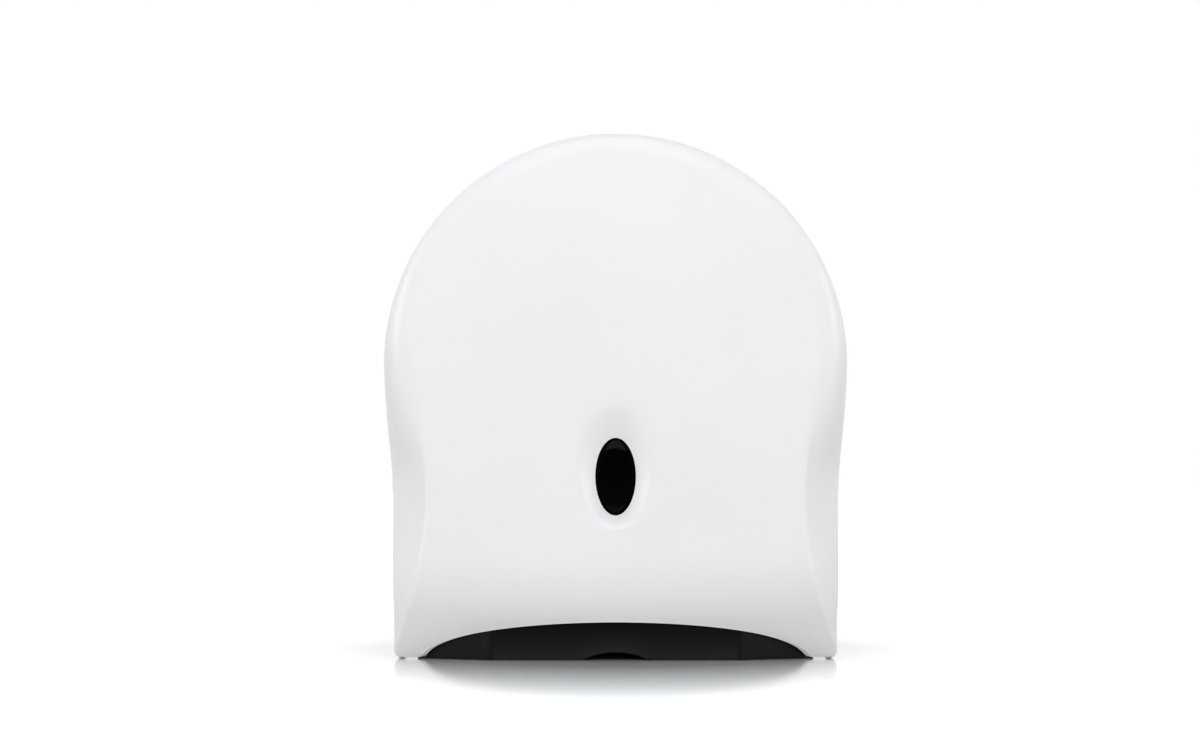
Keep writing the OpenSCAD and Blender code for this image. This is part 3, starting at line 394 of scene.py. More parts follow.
class Nodes(Graph):
    """A node material with one principled shader, whose patterns lie on Object coordinates."""

    def __init__(self, name):
        self.material = bpy.data.materials.get(name) or bpy.data.materials.new(name)
        super().__init__(self.material)
        self.output = self.add("OutputMaterial")
        self.shader = self.add("BsdfPrincipled")
        self.link(self.shader.outputs[0], self.output.inputs["Surface"])
        self.place = self.add("TexCoord").outputs["Object"]

    def noise(self, scale, detail=4.0, roughness=0.55, stretch=None):
        """Noise of that many features a metre, stretched by a factor along each axis."""
        source = self.place
        if stretch:
            mapping = self.add("Mapping")
            mapping.inputs["Scale"].default_value = stretch
            self.link(source, mapping.inputs["Vector"])
            source = mapping.outputs["Vector"]
        node = self.add("TexNoise")
        node.inputs["Scale"].default_value = scale
        node.inputs["Detail"].default_value = detail
        node.inputs["Roughness"].default_value = roughness
        self.link(source, node.inputs["Vector"])
        return node.outputs["Fac"]

    def mix_colours(self, factor, a, b):
        """Colour a at factor 0 and colour b at factor 1."""
        node = self.add("Mix", data_type="RGBA")
        self.link(factor, node.inputs["Factor"])
        for socket, colour in zip([s for s in node.inputs if s.type == "RGBA"], (a, b)):
            socket.default_value = (*colour, 1.0)
        return [s for s in node.outputs if s.type == "RGBA"][0]

    def bump(self, height, strength, distance, below=None):
        """A normal bent by a height, on top of the normal below."""
        node = self.add("Bump")
        node.inputs["Strength"].default_value = strength
        node.inputs["Distance"].default_value = distance
        self.link(height, node.inputs["Height"])
        if below is not None:
            self.link(below, node.inputs["Normal"])
        return node.outputs["Normal"]

    def set(self, **values):
        """Sets the shader's own sockets; an underscore stands for a space."""
        for key, value in values.items():
            socket = self.shader.inputs[key.replace("_", " ")]
            if hasattr(value, "links"):
                self.link(value, socket)
            elif isinstance(value, tuple) and len(value) == 3 and socket.type == "RGBA":
                socket.default_value = (*value, 1.0)
            else:
                socket.default_value = value


def shade(colour, factor):
    """A colour made lighter or darker."""
    return tuple(min(1.0, c * factor) for c in colour)


def moulded_plastic(name, colour, rough, spread, grain, grain_depth, scuff=0.12, ior=1.46):
    """Injection-moulded plastic: slow ripples from the mould, a fine grain of that many features a
    metre and that depth, faint rub marks that dull the gloss, and a slight mottling of the colour."""
    n = Nodes(name)
    mottle = n.ramp(n.noise(9.0, 5.0), 0.3, 0.7)
    rub = n.ramp(n.noise(34.0, 7.0, 0.68, (1.0, 1.0, 3.2)), 0.60, 0.78)
    fine = n.noise(grain, 3.0, 0.5)
    ripple = n.noise(16.0, 2.0, 0.4)
    roughness = n.math("ADD", n.ramp(mottle, 0.0, 1.0, rough, rough + spread), n.ramp(rub, 0, 1, 0, scuff))
    normal = n.bump(ripple, 0.35, 0.00025)
    normal = n.bump(fine, 0.5, grain_depth, normal)
    n.set(Base_Color=n.mix_colours(mottle, colour, shade(colour, 0.965)),
          Roughness=roughness, Normal=normal, IOR=ior)


def worn_metal(name, colour, rough, spread, stretch, depth, dull=0.18):
    """Plated metal: fine lines along one direction, cloudy patches and duller handled spots."""
    n = Nodes(name)
    lines = n.noise(900.0, 3.0, 0.6, stretch)
    cloud = n.ramp(n.noise(60.0, 5.0, 0.6), 0.35, 0.75)
    roughness = n.math("ADD", n.ramp(lines, 0.3, 0.7, rough, rough + spread), n.ramp(cloud, 0, 1, 0, dull))
    n.set(Base_Color=n.mix_colours(cloud, colour, shade(colour, 0.86)),
          Metallic=1.0, Roughness=roughness, Normal=n.bump(lines, 0.35, depth))


def smoked_acrylic(name, colour):
    """Polished smoked acrylic with faint wiping marks, so dark that it is made opaque."""
    n = Nodes(name)
    wipe = n.noise(70.0, 5.0, 0.6, (1.0, 1.0, 0.35))
    n.set(Base_Color=n.mix_colours(n.ramp(wipe, 0.3, 0.7), colour, shade(colour, 1.5)),
          Roughness=n.ramp(wipe, 0.35, 0.8, 0.04, 0.11), IOR=1.12,
          Normal=n.bump(n.noise(24.0, 2.0), 0.2, 0.0001))


def make_finishes():
    """Makes the material of every finish, to be found again by its name."""
    c = bpy.context.scene.dispenser_colours
    # after the colour: roughness and its spread, then the grain, or the lines' stretch, and its depth
    moulded_plastic("Cover white", tuple(c.white), 0.27, 0.06, 1400.0, 0.000012, scuff=0.06)
    moulded_plastic("Gloss black", tuple(c.black), 0.16, 0.06, 900.0, 0.000006, scuff=0.10, ior=1.23)
    moulded_plastic("Plate black", tuple(c.plate), 0.48, 0.10, 2200.0, 0.00009)
    moulded_plastic("Hub grey", tuple(c.grey), 0.40, 0.10, 1500.0, 0.00004)
    moulded_plastic("Acetal", tuple(c.acetal), 0.34, 0.08, 1200.0, 0.00002)
    smoked_acrylic("Smoked lens", tuple(c.smoke))
    worn_metal("Zinc steel", tuple(c.steel), 0.26, 0.12, (1.0, 0.08, 1.0), 0.00003)
    worn_metal("Chrome", tuple(c.chrome), 0.10, 0.05, (1.0, 1.0, 0.1), 0.00001, dull=0.08)


# ---------------------------------------------------------------- cover

LOCK_SEAT = 0.0024      # depth of the lock's seat below the top of the dome
LOCK_BORE_R = 0.0089    # radius of the boss's bore round the lock's body
EAR_IN = 0.132          # distance of the hinge bosses' inner ends from the middle
# each screw boss starts inside the dish's wall: height, radius, distance behind the front
SCREW_BOSSES = ((0.0873, 0.0028, 0.0033), (0.1507, 0.0030, 0.0067))
SCREW_BORE_R = 0.0015


def side_half_width(c, z):
    """Half width of the outline: dome radius less taper times the cosine of the way down to a
    power, and less a quarter circle at the foot."""
    drawn = np.maximum(0, np.cos(0.5 * math.pi * np.clip(z / c.dome_z, 0, 1))) ** c.taper_power
    foot = np.maximum(0, c.foot_r - z)
    return c.dome_r - c.side_taper * drawn - (c.foot_r - np.sqrt(c.foot_r ** 2 - foot ** 2))


def outline(c, n_side=56, n_dome=176, crowding=1.25):
    """Stations from the right foot over the dome to the left foot, as columns x, z, inward x,
    inward z and length up the outline. The sides follow side_half_width, the dome a half circle."""
    z = c.foot_lift + (c.dome_z - c.foot_lift) * (np.arange(n_side) / n_side) ** crowding
    w = side_half_width(c, z)
    one, none = np.ones_like(z), np.zeros_like(z)
    right = np.stack([w, z, -one, none, z], 1)
    a = np.linspace(0, math.pi, n_dome + 1)
    up = 0.5 * math.pi - np.abs(0.5 * math.pi - a)
    dome = np.stack([c.dome_r * np.cos(a), c.dome_z + c.dome_r * np.sin(a), -np.cos(a), -np.sin(a),
                     c.dome_z + c.dome_r * up], 1)
    left = right[::-1] * (-1, 1, -1, 1, 1)
    return np.concatenate([right, dome, left])


def above_waist(c, run):
    """0 at the waist, 1 at the brow."""
    brow = c.dome_z + c.dome_r * c.brow_angle
    return smooth((run - c.waist_z) / (brow - c.waist_z))


def waist_share(c, run):
    """How deep the flank is: (1 - u^4) / (1 + (d / reach)^2) at a distance d from the waist, where u
    is d over the distance at which the flank has ended."""
    brow = c.dome_z + c.dome_r * c.brow_angle
    d, above = np.abs(run - c.waist_z), run > c.waist_z
    u = np.minimum(1, d / np.where(above, brow - c.waist_z, c.waist_z - c.crease_end))
    return (1 - u ** 4) / (1 + (d / np.where(above, c.flank_reach, c.foot_reach)) ** 2)


def crease_inset(c, run):
    """How far the crease lies inside the outline: eases from the waist's inset to the soft edge
    above, and falls off with the square of the distance below."""
    below = np.minimum(1, np.maximum(0, c.waist_z - run) / (c.waist_z - c.crease_end))
    return np.where(run > c.waist_z, mix(c.waist_inset, c.edge_round, above_waist(c, run)),
                    c.waist_inset * (1 - below ** 2))


def face_y(c, x, z):
    """The front: flat, then a chin that is an arc of one radius and a straight slope below it."""
    d = np.maximum(0, c.chin_z + c.chin_rise * (x / c.dome_r) ** 2 - z)
    arc = c.chin_r * math.sin(c.chin_slope)
    on_arc = c.chin_r - np.sqrt(np.maximum(c.chin_r ** 2 - np.minimum(d, arc) ** 2, 0))
    return -c.depth + on_arc + np.maximum(0, d - arc) * math.tan(c.chin_slope)


def station_curves(start, middle, end, t):
    """One quadratic curve for each station, as a row."""
    return quadratic(start[:, None], middle[:, None], end[:, None], t)


def side_strip(c, s, n_wall=4, n_flank=22, n_edge=6):
    """The side wall and flank. Across the outline a point runs from the back edge straight forward,
    along a quadratic curve to just short of the crease, and round a short one into the face. Of each
    curve's points, y0, ym and y1 are the places along y, and draft, im and inset those inward."""
    x, z, nx, nz, run = s.T
    deep = waist_share(c, run)
    inset, span = crease_inset(c, run), mix(c.edge_round, c.flank_depth, deep)
    full = mix(np.where(run > c.waist_z, 1.0, c.foot_fullness), c.flank_fullness, deep)
    draft = c.draft * above_waist(c, run)
    y1 = face_y(c, x + nx * inset, z + nz * inset)
    y0 = y1 + span
    ym = mix(y0, y1, full)
    im = np.minimum(inset, mix(draft, draft * 0.5, full))
    speed = 2 * np.hypot(inset - im, y1 - ym)
    stop = 1 - c.crease_soft / np.maximum(speed, 2 * c.crease_soft)
    t = np.linspace(0, 1, n_flank)[None, :] * stop[:, None]
    flank_in, flank_y = station_curves(draft, im, inset, t), station_curves(y0, ym, y1, t)
    edge_in = inset + c.crease_soft
    edge_y = face_y(c, x + nx * edge_in, z + nz * edge_in)
    u = np.broadcast_to(np.linspace(0, 1, n_edge + 1)[None, 1:], (len(x), n_edge))
    round_in = station_curves(flank_in[:, -1], inset, edge_in, u)
    round_y = station_curves(flank_y[:, -1], y1, edge_y, u)
    back_gap = 0.001    # the back edge stops this short of the wall, and turns with the hinge below it
    drop = np.maximum(0, c.hinge_z - z)
    turned = np.sqrt((c.hinge_y - back_gap) ** 2 - drop ** 2) - c.hinge_y
    back = np.where(z >= c.hinge_z, -back_gap, turned)
    ways = np.linspace(0, 1, n_wall + 1)[:-1]
    wall_in, wall_y = np.outer(draft, ways), back[:, None] + np.outer(y0 - back, ways)
    inward = np.concatenate([wall_in, flank_in, round_in], 1)
    depth = np.concatenate([wall_y, flank_y, round_y], 1)
    return np.stack([x[:, None] + nx[:, None] * inward, depth, z[:, None] + nz[:, None] * inward], 2)


def face_loop(c, edge, n_mouth=132, n_foot=8):
    """The loop round the front face as x, z: the crease, then each foot's lower edge and between
    them the mouth. The mouth is x = half width sin a / sin turn and z = rise (cos a to a power,
    less its value at the turn), stopped at the turn, before it stands upright."""
    a = np.linspace(-c.mouth_turn, c.mouth_turn, n_mouth + 1)
    end = math.cos(c.mouth_turn) ** c.mouth_power
    mouth = np.stack([c.mouth_half_w * np.sin(a) / math.sin(c.mouth_turn),
                      c.foot_lift + c.mouth_rise * (np.cos(a) ** c.mouth_power - end) / (1 - end)], 1)
    crease = edge[:, [0, 2]]
    way = (np.arange(n_foot)[:, None] + 1) / (n_foot + 1)
    return np.concatenate([crease, mix(crease[-1], mouth[0], way), mouth, mix(mouth[-1], crease[0], way)])


def front_rings(c, w, edge, n_lip=7, n_face=29, n_dish=12, n_rim=9, crowding=1.25):
    """The front face and the dish. Spokes run from the face's loop along quadratic curves, which
    leave the feet leaning inward, to an ellipse, the dish's rim, and straight on to the window's
    ellipse, while the dish sinks with a power of the way. Along the mouth and round the window the
    skin rises in a small roll."""
    loop = face_loop(c, edge)
    foot = math.radians(-25)    # where the spoke of the right foot meets the dish
    lip_end = 0.02              # share of a spoke that has the close rings of the lip
    rim_start = 0.82            # share of the way into the dish after which the window's rim rises
    n, rest = len(edge), len(loop) - len(edge)
    along, under = np.arange(n) / (n - 1), (np.arange(rest) + 1) / (rest + 1)
    turn = np.concatenate([foot + (math.pi - 2 * foot) * along,
                           math.pi - foot + (math.pi + 2 * foot) * under])
    dish_z = w.window_z + w.dish_rise

    def ellipse(t):
        """The ring between the dish's rim, t 0, and the window's rim, t 1, as x and z."""
        half_w, half_h = mix(w.dish_a, w.window_a, t), mix(w.dish_b, w.window_b, t)
        middle = mix(dish_z, w.window_z, t)
        return np.stack([half_w * np.cos(turn)[:, None], middle + half_h * np.sin(turn)[:, None]], 2)

    rim = ellipse(np.zeros((1, 1)))[:, 0]
    middle = (loop + rim) / 2
    leaning = np.abs(loop[:, 0]) - c.spoke_lean * np.maximum(0, middle[:, 1] - loop[:, 1])
    plain = np.abs(middle[:, 0])
    near = 1 - smooth(loop[:, 1] / c.spoke_reach)
    bent = np.sign(loop[:, 0]) * mix(plain, np.maximum(plain, leaning), near)
    bend = np.stack([bent, middle[:, 1]], 1)
    t = np.concatenate([np.linspace(0, lip_end, n_lip),
                        mix(lip_end, 1, np.linspace(0, 1, n_face + 1)[1:] ** crowding)])
    flat = quadratic(loop[:, None], bend[:, None], rim[:, None], t[None, :, None])
    on_mouth = smooth(loop[:, 1:] / c.lip_start) * (np.arange(n + rest) >= n)[:, None]
    roll = c.lip_height * on_mouth * smooth(1 - np.linalg.norm(flat - loop[:, None], axis=2) / c.lip_width)
    face = np.stack([flat[..., 0], face_y(c, flat[..., 0], flat[..., 1]) - roll, flat[..., 1]], 2)
    d = np.concatenate([np.linspace(0, rim_start, n_dish + 1)[1:],
                        np.linspace(rim_start, 1, n_rim + 1)[1:]])[None]
    sunk = ellipse(d)
    away = np.linalg.norm(sunk - sunk[:, -1:], axis=2)
    level = w.dish_depth * d ** w.dish_curve - c.depth - w.rim_height * smooth(1 - away / w.rim_width)
    dish = np.stack([sunk[..., 0], level, sunk[..., 1]], 2)
    return np.concatenate([face, dish], 1)


def ring_profile(inner, outer, low, high, soft=0.0005):
    """Cross-section of a plain ring with rounded corners, as (radius, height) pairs."""
    return rounded([(inner, low), (outer, low), (outer, high), (inner, high)], soft)


def cover_skin(c, w):
    """The strip round the sides and the rings of the front, joined along the crease, with their wall."""
    strip = side_strip(c, outline(c))
    rings = front_rings(c, w, strip[:, -1])
    n, across = strip.shape[:2]
    around, deep = rings.shape[:2]
    strip_ids = np.arange(n * across).reshape(n, across)
    ring_ids = n * across + np.arange(around * deep).reshape(around, deep)
    points = np.concatenate([strip.reshape(-1, 3), rings.reshape(-1, 3)])
    quads = np.concatenate([grid_quads(n, across),
                            grid_quads(around, deep, close_rows=True, start=n * across)])
    joined = np.arange(len(points))
    joined[ring_ids[:n, 0]] = strip_ids[:, -1]
    rim = np.concatenate([strip_ids[:, 0], strip_ids[-1, 1:], ring_ids[n:, 0], strip_ids[0, :0:-1]])
    return Shape().shell(points, joined[quads], [rim, ring_ids[::-1, -1]], c.wall, c.rim_soft)


def lock_cutter(lock_y, head_r, seat, gap=0.0003, below=0.012, above=0.02):
    """A cylinder that cuts room for the lock's head out of the shell."""
    bore = ring_profile(0, head_r + gap, seat - below, seat + above, 0)
    mesh = Shape().lathe(bore, (0, lock_y, 0), "z", 96).mesh("lock_cutter")
    return bpy.data.objects.new("lock_cutter", mesh)


def cover_bosses(c, lock_y, head_r, seat, boss_h=0.0026, boss_wall=0.003, soft=0.0003):
    """The rings inside the cover: a boss for each hinge pin, for the lock and for each window screw."""
    bosses = Shape()
    ear_out = float(side_half_width(c, np.array(c.hinge_z))) - c.wall / 2
    for low, high in ((-ear_out, -EAR_IN), (EAR_IN, ear_out)):
        bosses.lathe(ring_profile(c.pin_bore_r, c.boss_r, low, high), (0, -c.hinge_y, c.hinge_z), "x")
    lock_boss = ring_profile(LOCK_BORE_R, head_r + boss_wall, seat - boss_h, seat, soft)
    bosses.lathe(lock_boss, (0, lock_y, 0), "z", 96)
    for z, r, sunk in SCREW_BOSSES:
        bosses.lathe(ring_profile(SCREW_BORE_R, r, sunk - c.depth, LENS_HIGH[1], soft), (0, 0, z), "y", 32)
    return bosses


class DISPENSER_OT_cover(bpy.types.Operator):
    """Make the white drop-down cover with its soft dome, scooped flanks, chin and window dish"""
    bl_idname = "dispenser.cover"
    bl_label = "Front cover"

    def execute(self, context):
        c, w = context.scene.dispenser_cover, context.scene.dispenser_window
        lock_low, lock_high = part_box("lock_body")
        lock_y, head_r = (lock_low[1] + lock_high[1]) / 2, (lock_high[0] - lock_low[0]) / 2
        seat = c.dome_z + c.dome_r - LOCK_SEAT
        cutter = lock_cutter(lock_y, head_r, seat)
        context.collection.objects.link(cutter)
        cut = ("BOOLEAN", {"operation": "DIFFERENCE", "object": cutter, "solver": "EXACT"})
        finish_piece("cover_shell", cover_skin(c, w).mesh("cover_shell"), "Cover white", "cover",
                     ["front_cover"], [cut])
        bpy.data.objects.remove(cutter)
        finish_piece("cover_bosses", cover_bosses(c, lock_y, head_r, seat).mesh("cover_bosses"),
                     "Cover white", "cover")
        return {"FINISHED"}


# ---------------------------------------------------------------- window

def lens(w, n_round=160, n_crown=21):
    """The lens as rings of ellipses: the front bulges with the cube of the way from its middle, then
    come the rounded rim, the side, and the flange that lies behind the cover."""
    front, back = LENS_LOW[1], LENS_HIGH[1]
    a = np.linspace(0, 2 * math.pi, n_round, endpoint=False)
    body_a, body_b = w.window_a - w.gap, w.window_b - w.gap
    rho = np.linspace(0, 1, n_crown + 1)[1:]
    crown = front + w.crown * rho ** 3
    soft = 0.0007      # run of the rounding at the front's rim
    back_cap = 0.02    # the flat face that closes the back, as a share of the half axes
    # each column: share of the body's half axes, extra reach, distance along y
    columns = [(r, 0, y) for r, y in zip(rho[:-1], crown[:-1])]
    columns += [(1, 0, crown[-1] + soft), (1, 0, back - w.flange_t), (1, w.flange, back - w.flange_t),
                (1, w.flange, back), (back_cap, 0, back)]
    k, extra, y = np.array(columns).T
    x = (body_a * k + extra) * np.cos(a)[:, None]
    z = w.window_z + (body_b * k + extra) * np.sin(a)[:, None]
    points = np.stack([x, np.broadcast_to(y, x.shape), z], 2)
    return Shape().grid(points, close_rows=True).cap(points[:, 0], flip=True).cap(points[:, -1])


class DISPENSER_OT_window(bpy.types.Operator):
    """Make the smoked level window and dress its retainer"""
    bl_idname = "dispenser.window"
    bl_label = "Level window"

    def execute(self, context):
        shape = lens(context.scene.dispenser_window)
        finish_piece("window", shape.mesh("window"), "Smoked lens", "cover",
                     ["window_lens"], sharp=50)
        dress("Plate black", 0.0003, "lens_retainer")
        dress("Zinc steel", 0.00015, "retainer_screws")
        return {"FINISHED"}


# ---------------------------------------------------------------- tray

def guard_path(t, n_run=59, n_bend=8):
    """Plan of the guard, right to left, as rows of x, y and rows of outward x, y: five straight runs
    whose bends are quadratic curves."""
    half = [(t.half_w, -t.side_stop), (t.half_w, t.facet_fall - t.guard_y), (t.facet_half_w, -t.guard_y)]
    p = np.array(half + [(-x, y) for x, y in half[::-1]])
    along = np.linspace(0, 1, n_run + 1)[1:, None]
    bend = np.linspace(0, 1, n_bend + 1)[:, None]
    rows = [p[:1]]
    for before, corner, after in zip(p[:-2], p[1:-1], p[2:]):
        a, b = [corner + (other - corner) / np.linalg.norm(other - corner) * t.bend_soft
                for other in (before, after)]
        start = rows[-1][-1]
        rows += [start + (a - start) * along, quadratic(a, corner, b, bend)[1:]]
    start = rows[-1][-1]
    path = np.concatenate([*rows, start + (p[-1] - start) * along])
    way = np.gradient(path, axis=0)
    way /= lengths(way)
    return path, np.stack([-way[:, 1], way[:, 0]], 1)


def guard(t, soft=0.0005):
    """The side walls and the guard: a rounded upright carried along the guard's path, its lower edge
    raised by the finger notch, 1 less the way from the middle to a power."""
    path, out = guard_path(t)
    notch = t.notch_h * np.maximum(0, 1 - (np.abs(path[:, 0]) / t.notch_half_w) ** t.notch_power)
    on_front = 0.001    # the notch lies only where the path is this near to the middle facet
    notch *= path[:, 1] < -t.guard_y + on_front
    corner = rounded([(0, 0), (0, t.guard_h), (-t.wall, t.guard_h), (-t.wall, 0)], soft)
    share_up = np.clip(corner[:, 1] / t.guard_h, 0, 1)
    low = notch[:, None] * (1 - share_up)[None, :]
    x = path[:, :1] + out[:, :1] * corner[:, 0]
    y = path[:, 1:] + out[:, 1:] * corner[:, 0]
    points = np.stack([x, y, low + corner[:, 1]], 2)
    return Shape().grid(points, close_columns=True).cap(points[0], flip=True).cap(points[-1])


def add_floors(tray, t):
    """Adds the floor on each side of the paper's way out, its outer edges inside the walls of the
    guard, and the upright screw tab at its back."""
    edge = t.half_w - t.wall / 2
    front = -t.guard_y + t.wall * 0.7
    floor = [(edge, -t.back), (edge, t.facet_fall - t.guard_y + t.wall / 2), (t.facet_half_w, front),
             (t.exit_half_w, front), (t.exit_half_w, -t.back)]
    tab = [(t.tab_x0, -t.back), (t.tab_x1, -t.back), (t.tab_x1, -t.back - t.wall),
           (t.tab_x0, -t.back - t.wall)]
    for side in (1, -1):
        for plan, height in ((floor, t.wall), (tab, t.tab_h)):
            # both plans run clockwise on the right side, so there they are turned round
            tray.prism([(side * x, y) for x, y in plan][::-side], 0, height)


class DISPENSER_OT_tray(bpy.types.Operator):
    """Make the gloss black tray whose faceted guard fills the mouth and has a finger notch"""
    bl_idname = "dispenser.tray"
    bl_label = "Tray and guard"

    def execute(self, context):
        t = context.scene.dispenser_tray
        tray = guard(t)
        add_floors(tray, t)
        finish_piece("guard_tray", tray.mesh("guard_tray"), "Gloss black", "base",
                     ["bottom_tray"], sharp=35)
        dress("Zinc steel", 0.0001, "tear_blades")
        dress("Zinc steel", 0.0002, "blade_rivets", "tray_screws")
        return {"FINISHED"}


# ---------------------------------------------------------------- plate, spindle, lock

class DISPENSER_OT_plate(bpy.types.Operator):
    """Dress the wall plate, the hinge pins and the striker"""
    bl_idname = "dispenser.plate"
    bl_label = "Wall plate"

    def execute(self, context):
        dress("Plate black", 0.0005, "back_plate")
        dress("Zinc steel", 0.0002, "hinge_pin_left", "hinge_pin_right", "striker", "striker_screws")
        return {"FINISHED"}


class DISPENSER_OT_spindle(bpy.types.Operator):
    """Dress the spindle: axle, hub, bearings and washers"""
    bl_idname = "dispenser.spindle"
    bl_label = "Spindle"

    def execute(self, context):
        dress("Hub grey", 0.0004, "roll_hub", "hub_cap")
        dress("Acetal", 0.0002, "hub_bushes", "thrust_washer")
        dress("Zinc steel", 0.0002, "axle", "axle_screws", "brake_washer", "axle_end_screw")
        return {"FINISHED"}


class DISPENSER_OT_lock(bpy.types.Operator):
    """Dress the cam lock in the top of the cover"""
    bl_idname = "dispenser.lock"
    bl_label = "Cam lock"

    def execute(self, context):
        dress("Chrome", 0.0002, "lock_body", "lock_barrel")
        dress("Zinc steel", 0.0002, "lock_nut", "lock_cam", "cam_screw")
        return {"FINISHED"}


# ---------------------------------------------------------------- stage

def softbox(name, place, power, colour, target=(0, -0.08, 0.19), size=1.4):
    """A square softbox that looks at the middle of the dispenser."""
    data = bpy.data.lights.new(name, "AREA")
    data.shape, data.size, data.size_y = "RECTANGLE", size, size
    data.energy, data.color = power, colour
    lamp = bpy.data.objects.new(name, data)
    lamp.location = place
    lamp.rotation_euler = (Vector(target) - Vector(place)).to_track_quat("-Z", "Y").to_euler()
    bpy.context.collection.objects.link(lamp)


def studio_world(scene, colour, strength, front):
    """An even soft world for the light that reaches the object. Camera, glossy and see-through rays
    meet white instead, from which the dark side of the studio, where the camera stands, takes the
    share front away for all but camera rays."""
    world = bpy.data.worlds.new("Studio")
    scene.world = world
    g = Graph(world)
    soft, white, blend = g.add("Background"), g.add("Background"), g.add("MixShader")
    soft.inputs["Color"].default_value = (*colour, 1.0)
    soft.inputs["Strength"].default_value = strength
    white.inputs["Color"].default_value = (1.0, 1.0, 1.0, 1.0)
    path = g.add("LightPath")
    camera = path.outputs["Is Camera Ray"]
    seen = g.math("MAXIMUM", camera, g.math("MAXIMUM", path.outputs["Is Glossy Ray"],
                                            path.outputs["Is Transmission Ray"]))
    ahead = g.add("VectorMath", operation="DOT_PRODUCT")
    ahead.inputs[1].default_value = (0.0, 1.0, 0.0)
    g.link(g.add("NewGeometry").outputs["Incoming"], ahead.inputs[0])
    side_starts, side_full = 0.72, 0.97    # cosines of the angle to the camera's side
    dark = g.ramp(ahead.outputs["Value"], side_starts, side_full, 0.0, front)
    dimmed = g.math("MULTIPLY", dark, g.math("SUBTRACT", 1.0, camera))
    g.link(g.math("SUBTRACT", 1.0, dimmed), white.inputs["Strength"])
    g.link(seen, blend.inputs[0])
    g.link(soft.outputs[0], blend.inputs[1])
    g.link(white.outputs[0], blend.inputs[2])
    g.link(blend.outputs[0], g.add("OutputWorld").inputs[0])


def floor_finish(clear=0.16, faded=0.45, glow=0.72):
    """The pale floor under a soft coat. For camera rays it glows more and more between the distances
    clear and faded from the origin, so that it fades into the white behind it."""
    n = Nodes("Pale floor")
    n.set(Base_Color=(0.86, 0.825, 0.79), Roughness=0.12, Coat_Weight=0.55, Coat_Roughness=0.12)
    lift = n.add("Emission")
    lift.inputs["Color"].default_value = (0.89, 0.96, 1.0, 1.0)
    away = n.add("VectorMath", operation="LENGTH")
    n.link(n.place, away.inputs[0])
    strength = n.ramp(away.outputs["Value"], clear, faded, 0.0, glow)
    n.link(n.math("MULTIPLY", n.add("LightPath").outputs["Is Camera Ray"], strength),
           lift.inputs["Strength"])
    both = n.add("AddShader")
    n.link(n.shader.outputs[0], both.inputs[0])
    n.link(lift.outputs[0], both.inputs[1])
    n.link(both.outputs[0], n.output.inputs["Surface"])
    return n.material


def level_camera(scene, plane=-0.12, distance=2.4, height=0.170):
    """A level camera straight before the cover, at a distance from a plane just behind its face. The
    lens gives that plane its millimetres a pixel, and the shifts place it in the frame."""
    frame_w, mm_a_pixel = 1200, 0.641
    left, up = 15.6, 22.0    # the shifts in pixels
    data = bpy.data.cameras.new("Camera")
    data.sensor_width = 36.0
    data.lens = data.sensor_width * distance / (frame_w * mm_a_pixel * MM)
    data.shift_x = -left / frame_w
    data.shift_y = up / frame_w
    data.clip_end = 50
    camera = bpy.data.objects.new("Camera", data)
    camera.location = (0, plane - distance, height)
    camera.rotation_euler = (math.radians(90), 0, 0)
    bpy.context.collection.objects.link(camera)
    scene.camera = camera


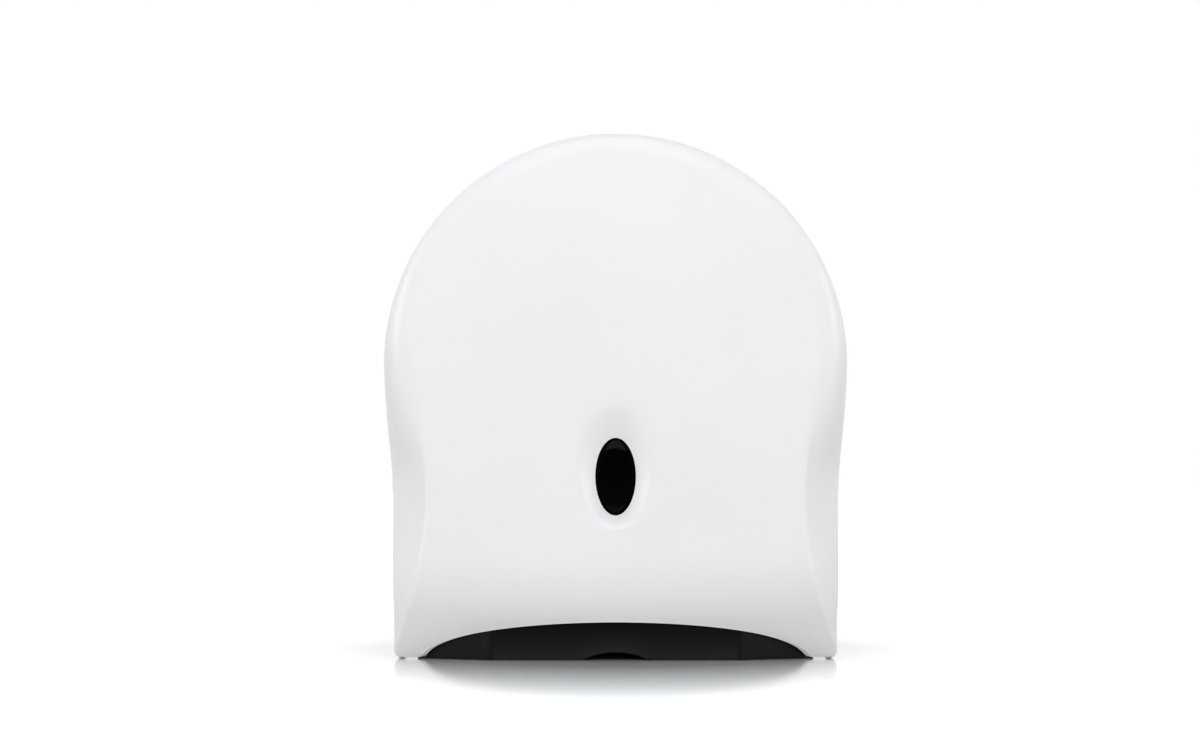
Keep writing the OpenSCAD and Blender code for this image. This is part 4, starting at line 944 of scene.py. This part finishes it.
class DISPENSER_OT_stage(bpy.types.Operator):
    """Make the pale floor, the soft studio light and the camera"""
    bl_idname = "dispenser.stage"
    bl_label = "Stage"

    def execute(self, context):
        scene = context.scene
        warm, cool = (1.0, 0.985, 0.965), (0.955, 0.965, 1.0)
        studio_world(scene, cool, 0.56, 0.85)
        softbox("Front", (0, -2.8, 1.2), 20.5, warm)
        softbox("Top", (0, -1.5, 2.6), 14.0, cool)
        softbox("Left", (-2.8, -1.0, 0.8), 16.0, cool)
        softbox("Right", (2.8, -1.0, 0.8), 14.0, cool)

        half = 4.0
        corners = [(-half, -half, 0), (half, -half, 0), (half, half, 0), (-half, half, 0)]
        mesh = bpy.data.meshes.new("floor")
        mesh.from_pydata(corners, [], [(0, 1, 2, 3)])
        mesh.materials.append(floor_finish())
        floor = bpy.data.objects.new("floor", mesh)
        context.collection.objects.link(floor)

        level_camera(scene)
        scene.view_settings.view_transform = "Standard"
        return {"FINISHED"}


class DISPENSER_PT_panel(bpy.types.Panel):
    """The dispenser's pieces and sizes"""
    bl_idname = "DISPENSER_PT_panel"
    bl_label = "Roll dispenser"
    bl_space_type = "VIEW_3D"
    bl_region_type = "UI"
    bl_category = "Dispenser"

    def draw(self, context):
        for operator in OPERATORS:
            self.layout.operator(operator.bl_idname)
        for group in GROUPS:
            box = self.layout.box()
            box.label(text=GROUPS[group].__doc__)
            settings = getattr(context.scene, group)
            for name in GROUPS[group].__annotations__:
                box.prop(settings, name)


GROUPS = {
    "dispenser_cover": CoverSizes,
    "dispenser_window": WindowSizes,
    "dispenser_tray": TraySizes,
    "dispenser_colours": FinishColours,
}
OPERATORS = [DISPENSER_OT_cover, DISPENSER_OT_window, DISPENSER_OT_tray, DISPENSER_OT_plate,
             DISPENSER_OT_spindle, DISPENSER_OT_lock, DISPENSER_OT_stage]


def register():
    """Registers the sizes, the operators and the panel."""
    for group in GROUPS.values():
        bpy.utils.register_class(group)
    for name, group in GROUPS.items():
        setattr(bpy.types.Scene, name, PointerProperty(type=group))
    for kind in (*OPERATORS, DISPENSER_PT_panel):
        bpy.utils.register_class(kind)


def unregister():
    """Takes everything away again, in the opposite order."""
    for kind in (DISPENSER_PT_panel, *reversed(OPERATORS)):
        bpy.utils.unregister_class(kind)
    for name in GROUPS:
        delattr(bpy.types.Scene, name)
    for group in reversed(list(GROUPS.values())):
        bpy.utils.unregister_class(group)


def main():
    """Builds the whole scene."""
    register()
    make_finishes()
    bpy.ops.dispenser.cover()
    bpy.ops.dispenser.window()
    bpy.ops.dispenser.tray()
    bpy.ops.dispenser.plate()
    bpy.ops.dispenser.spindle()
    bpy.ops.dispenser.lock()
    bpy.ops.dispenser.stage()


if __name__ == "__main__":
    main()
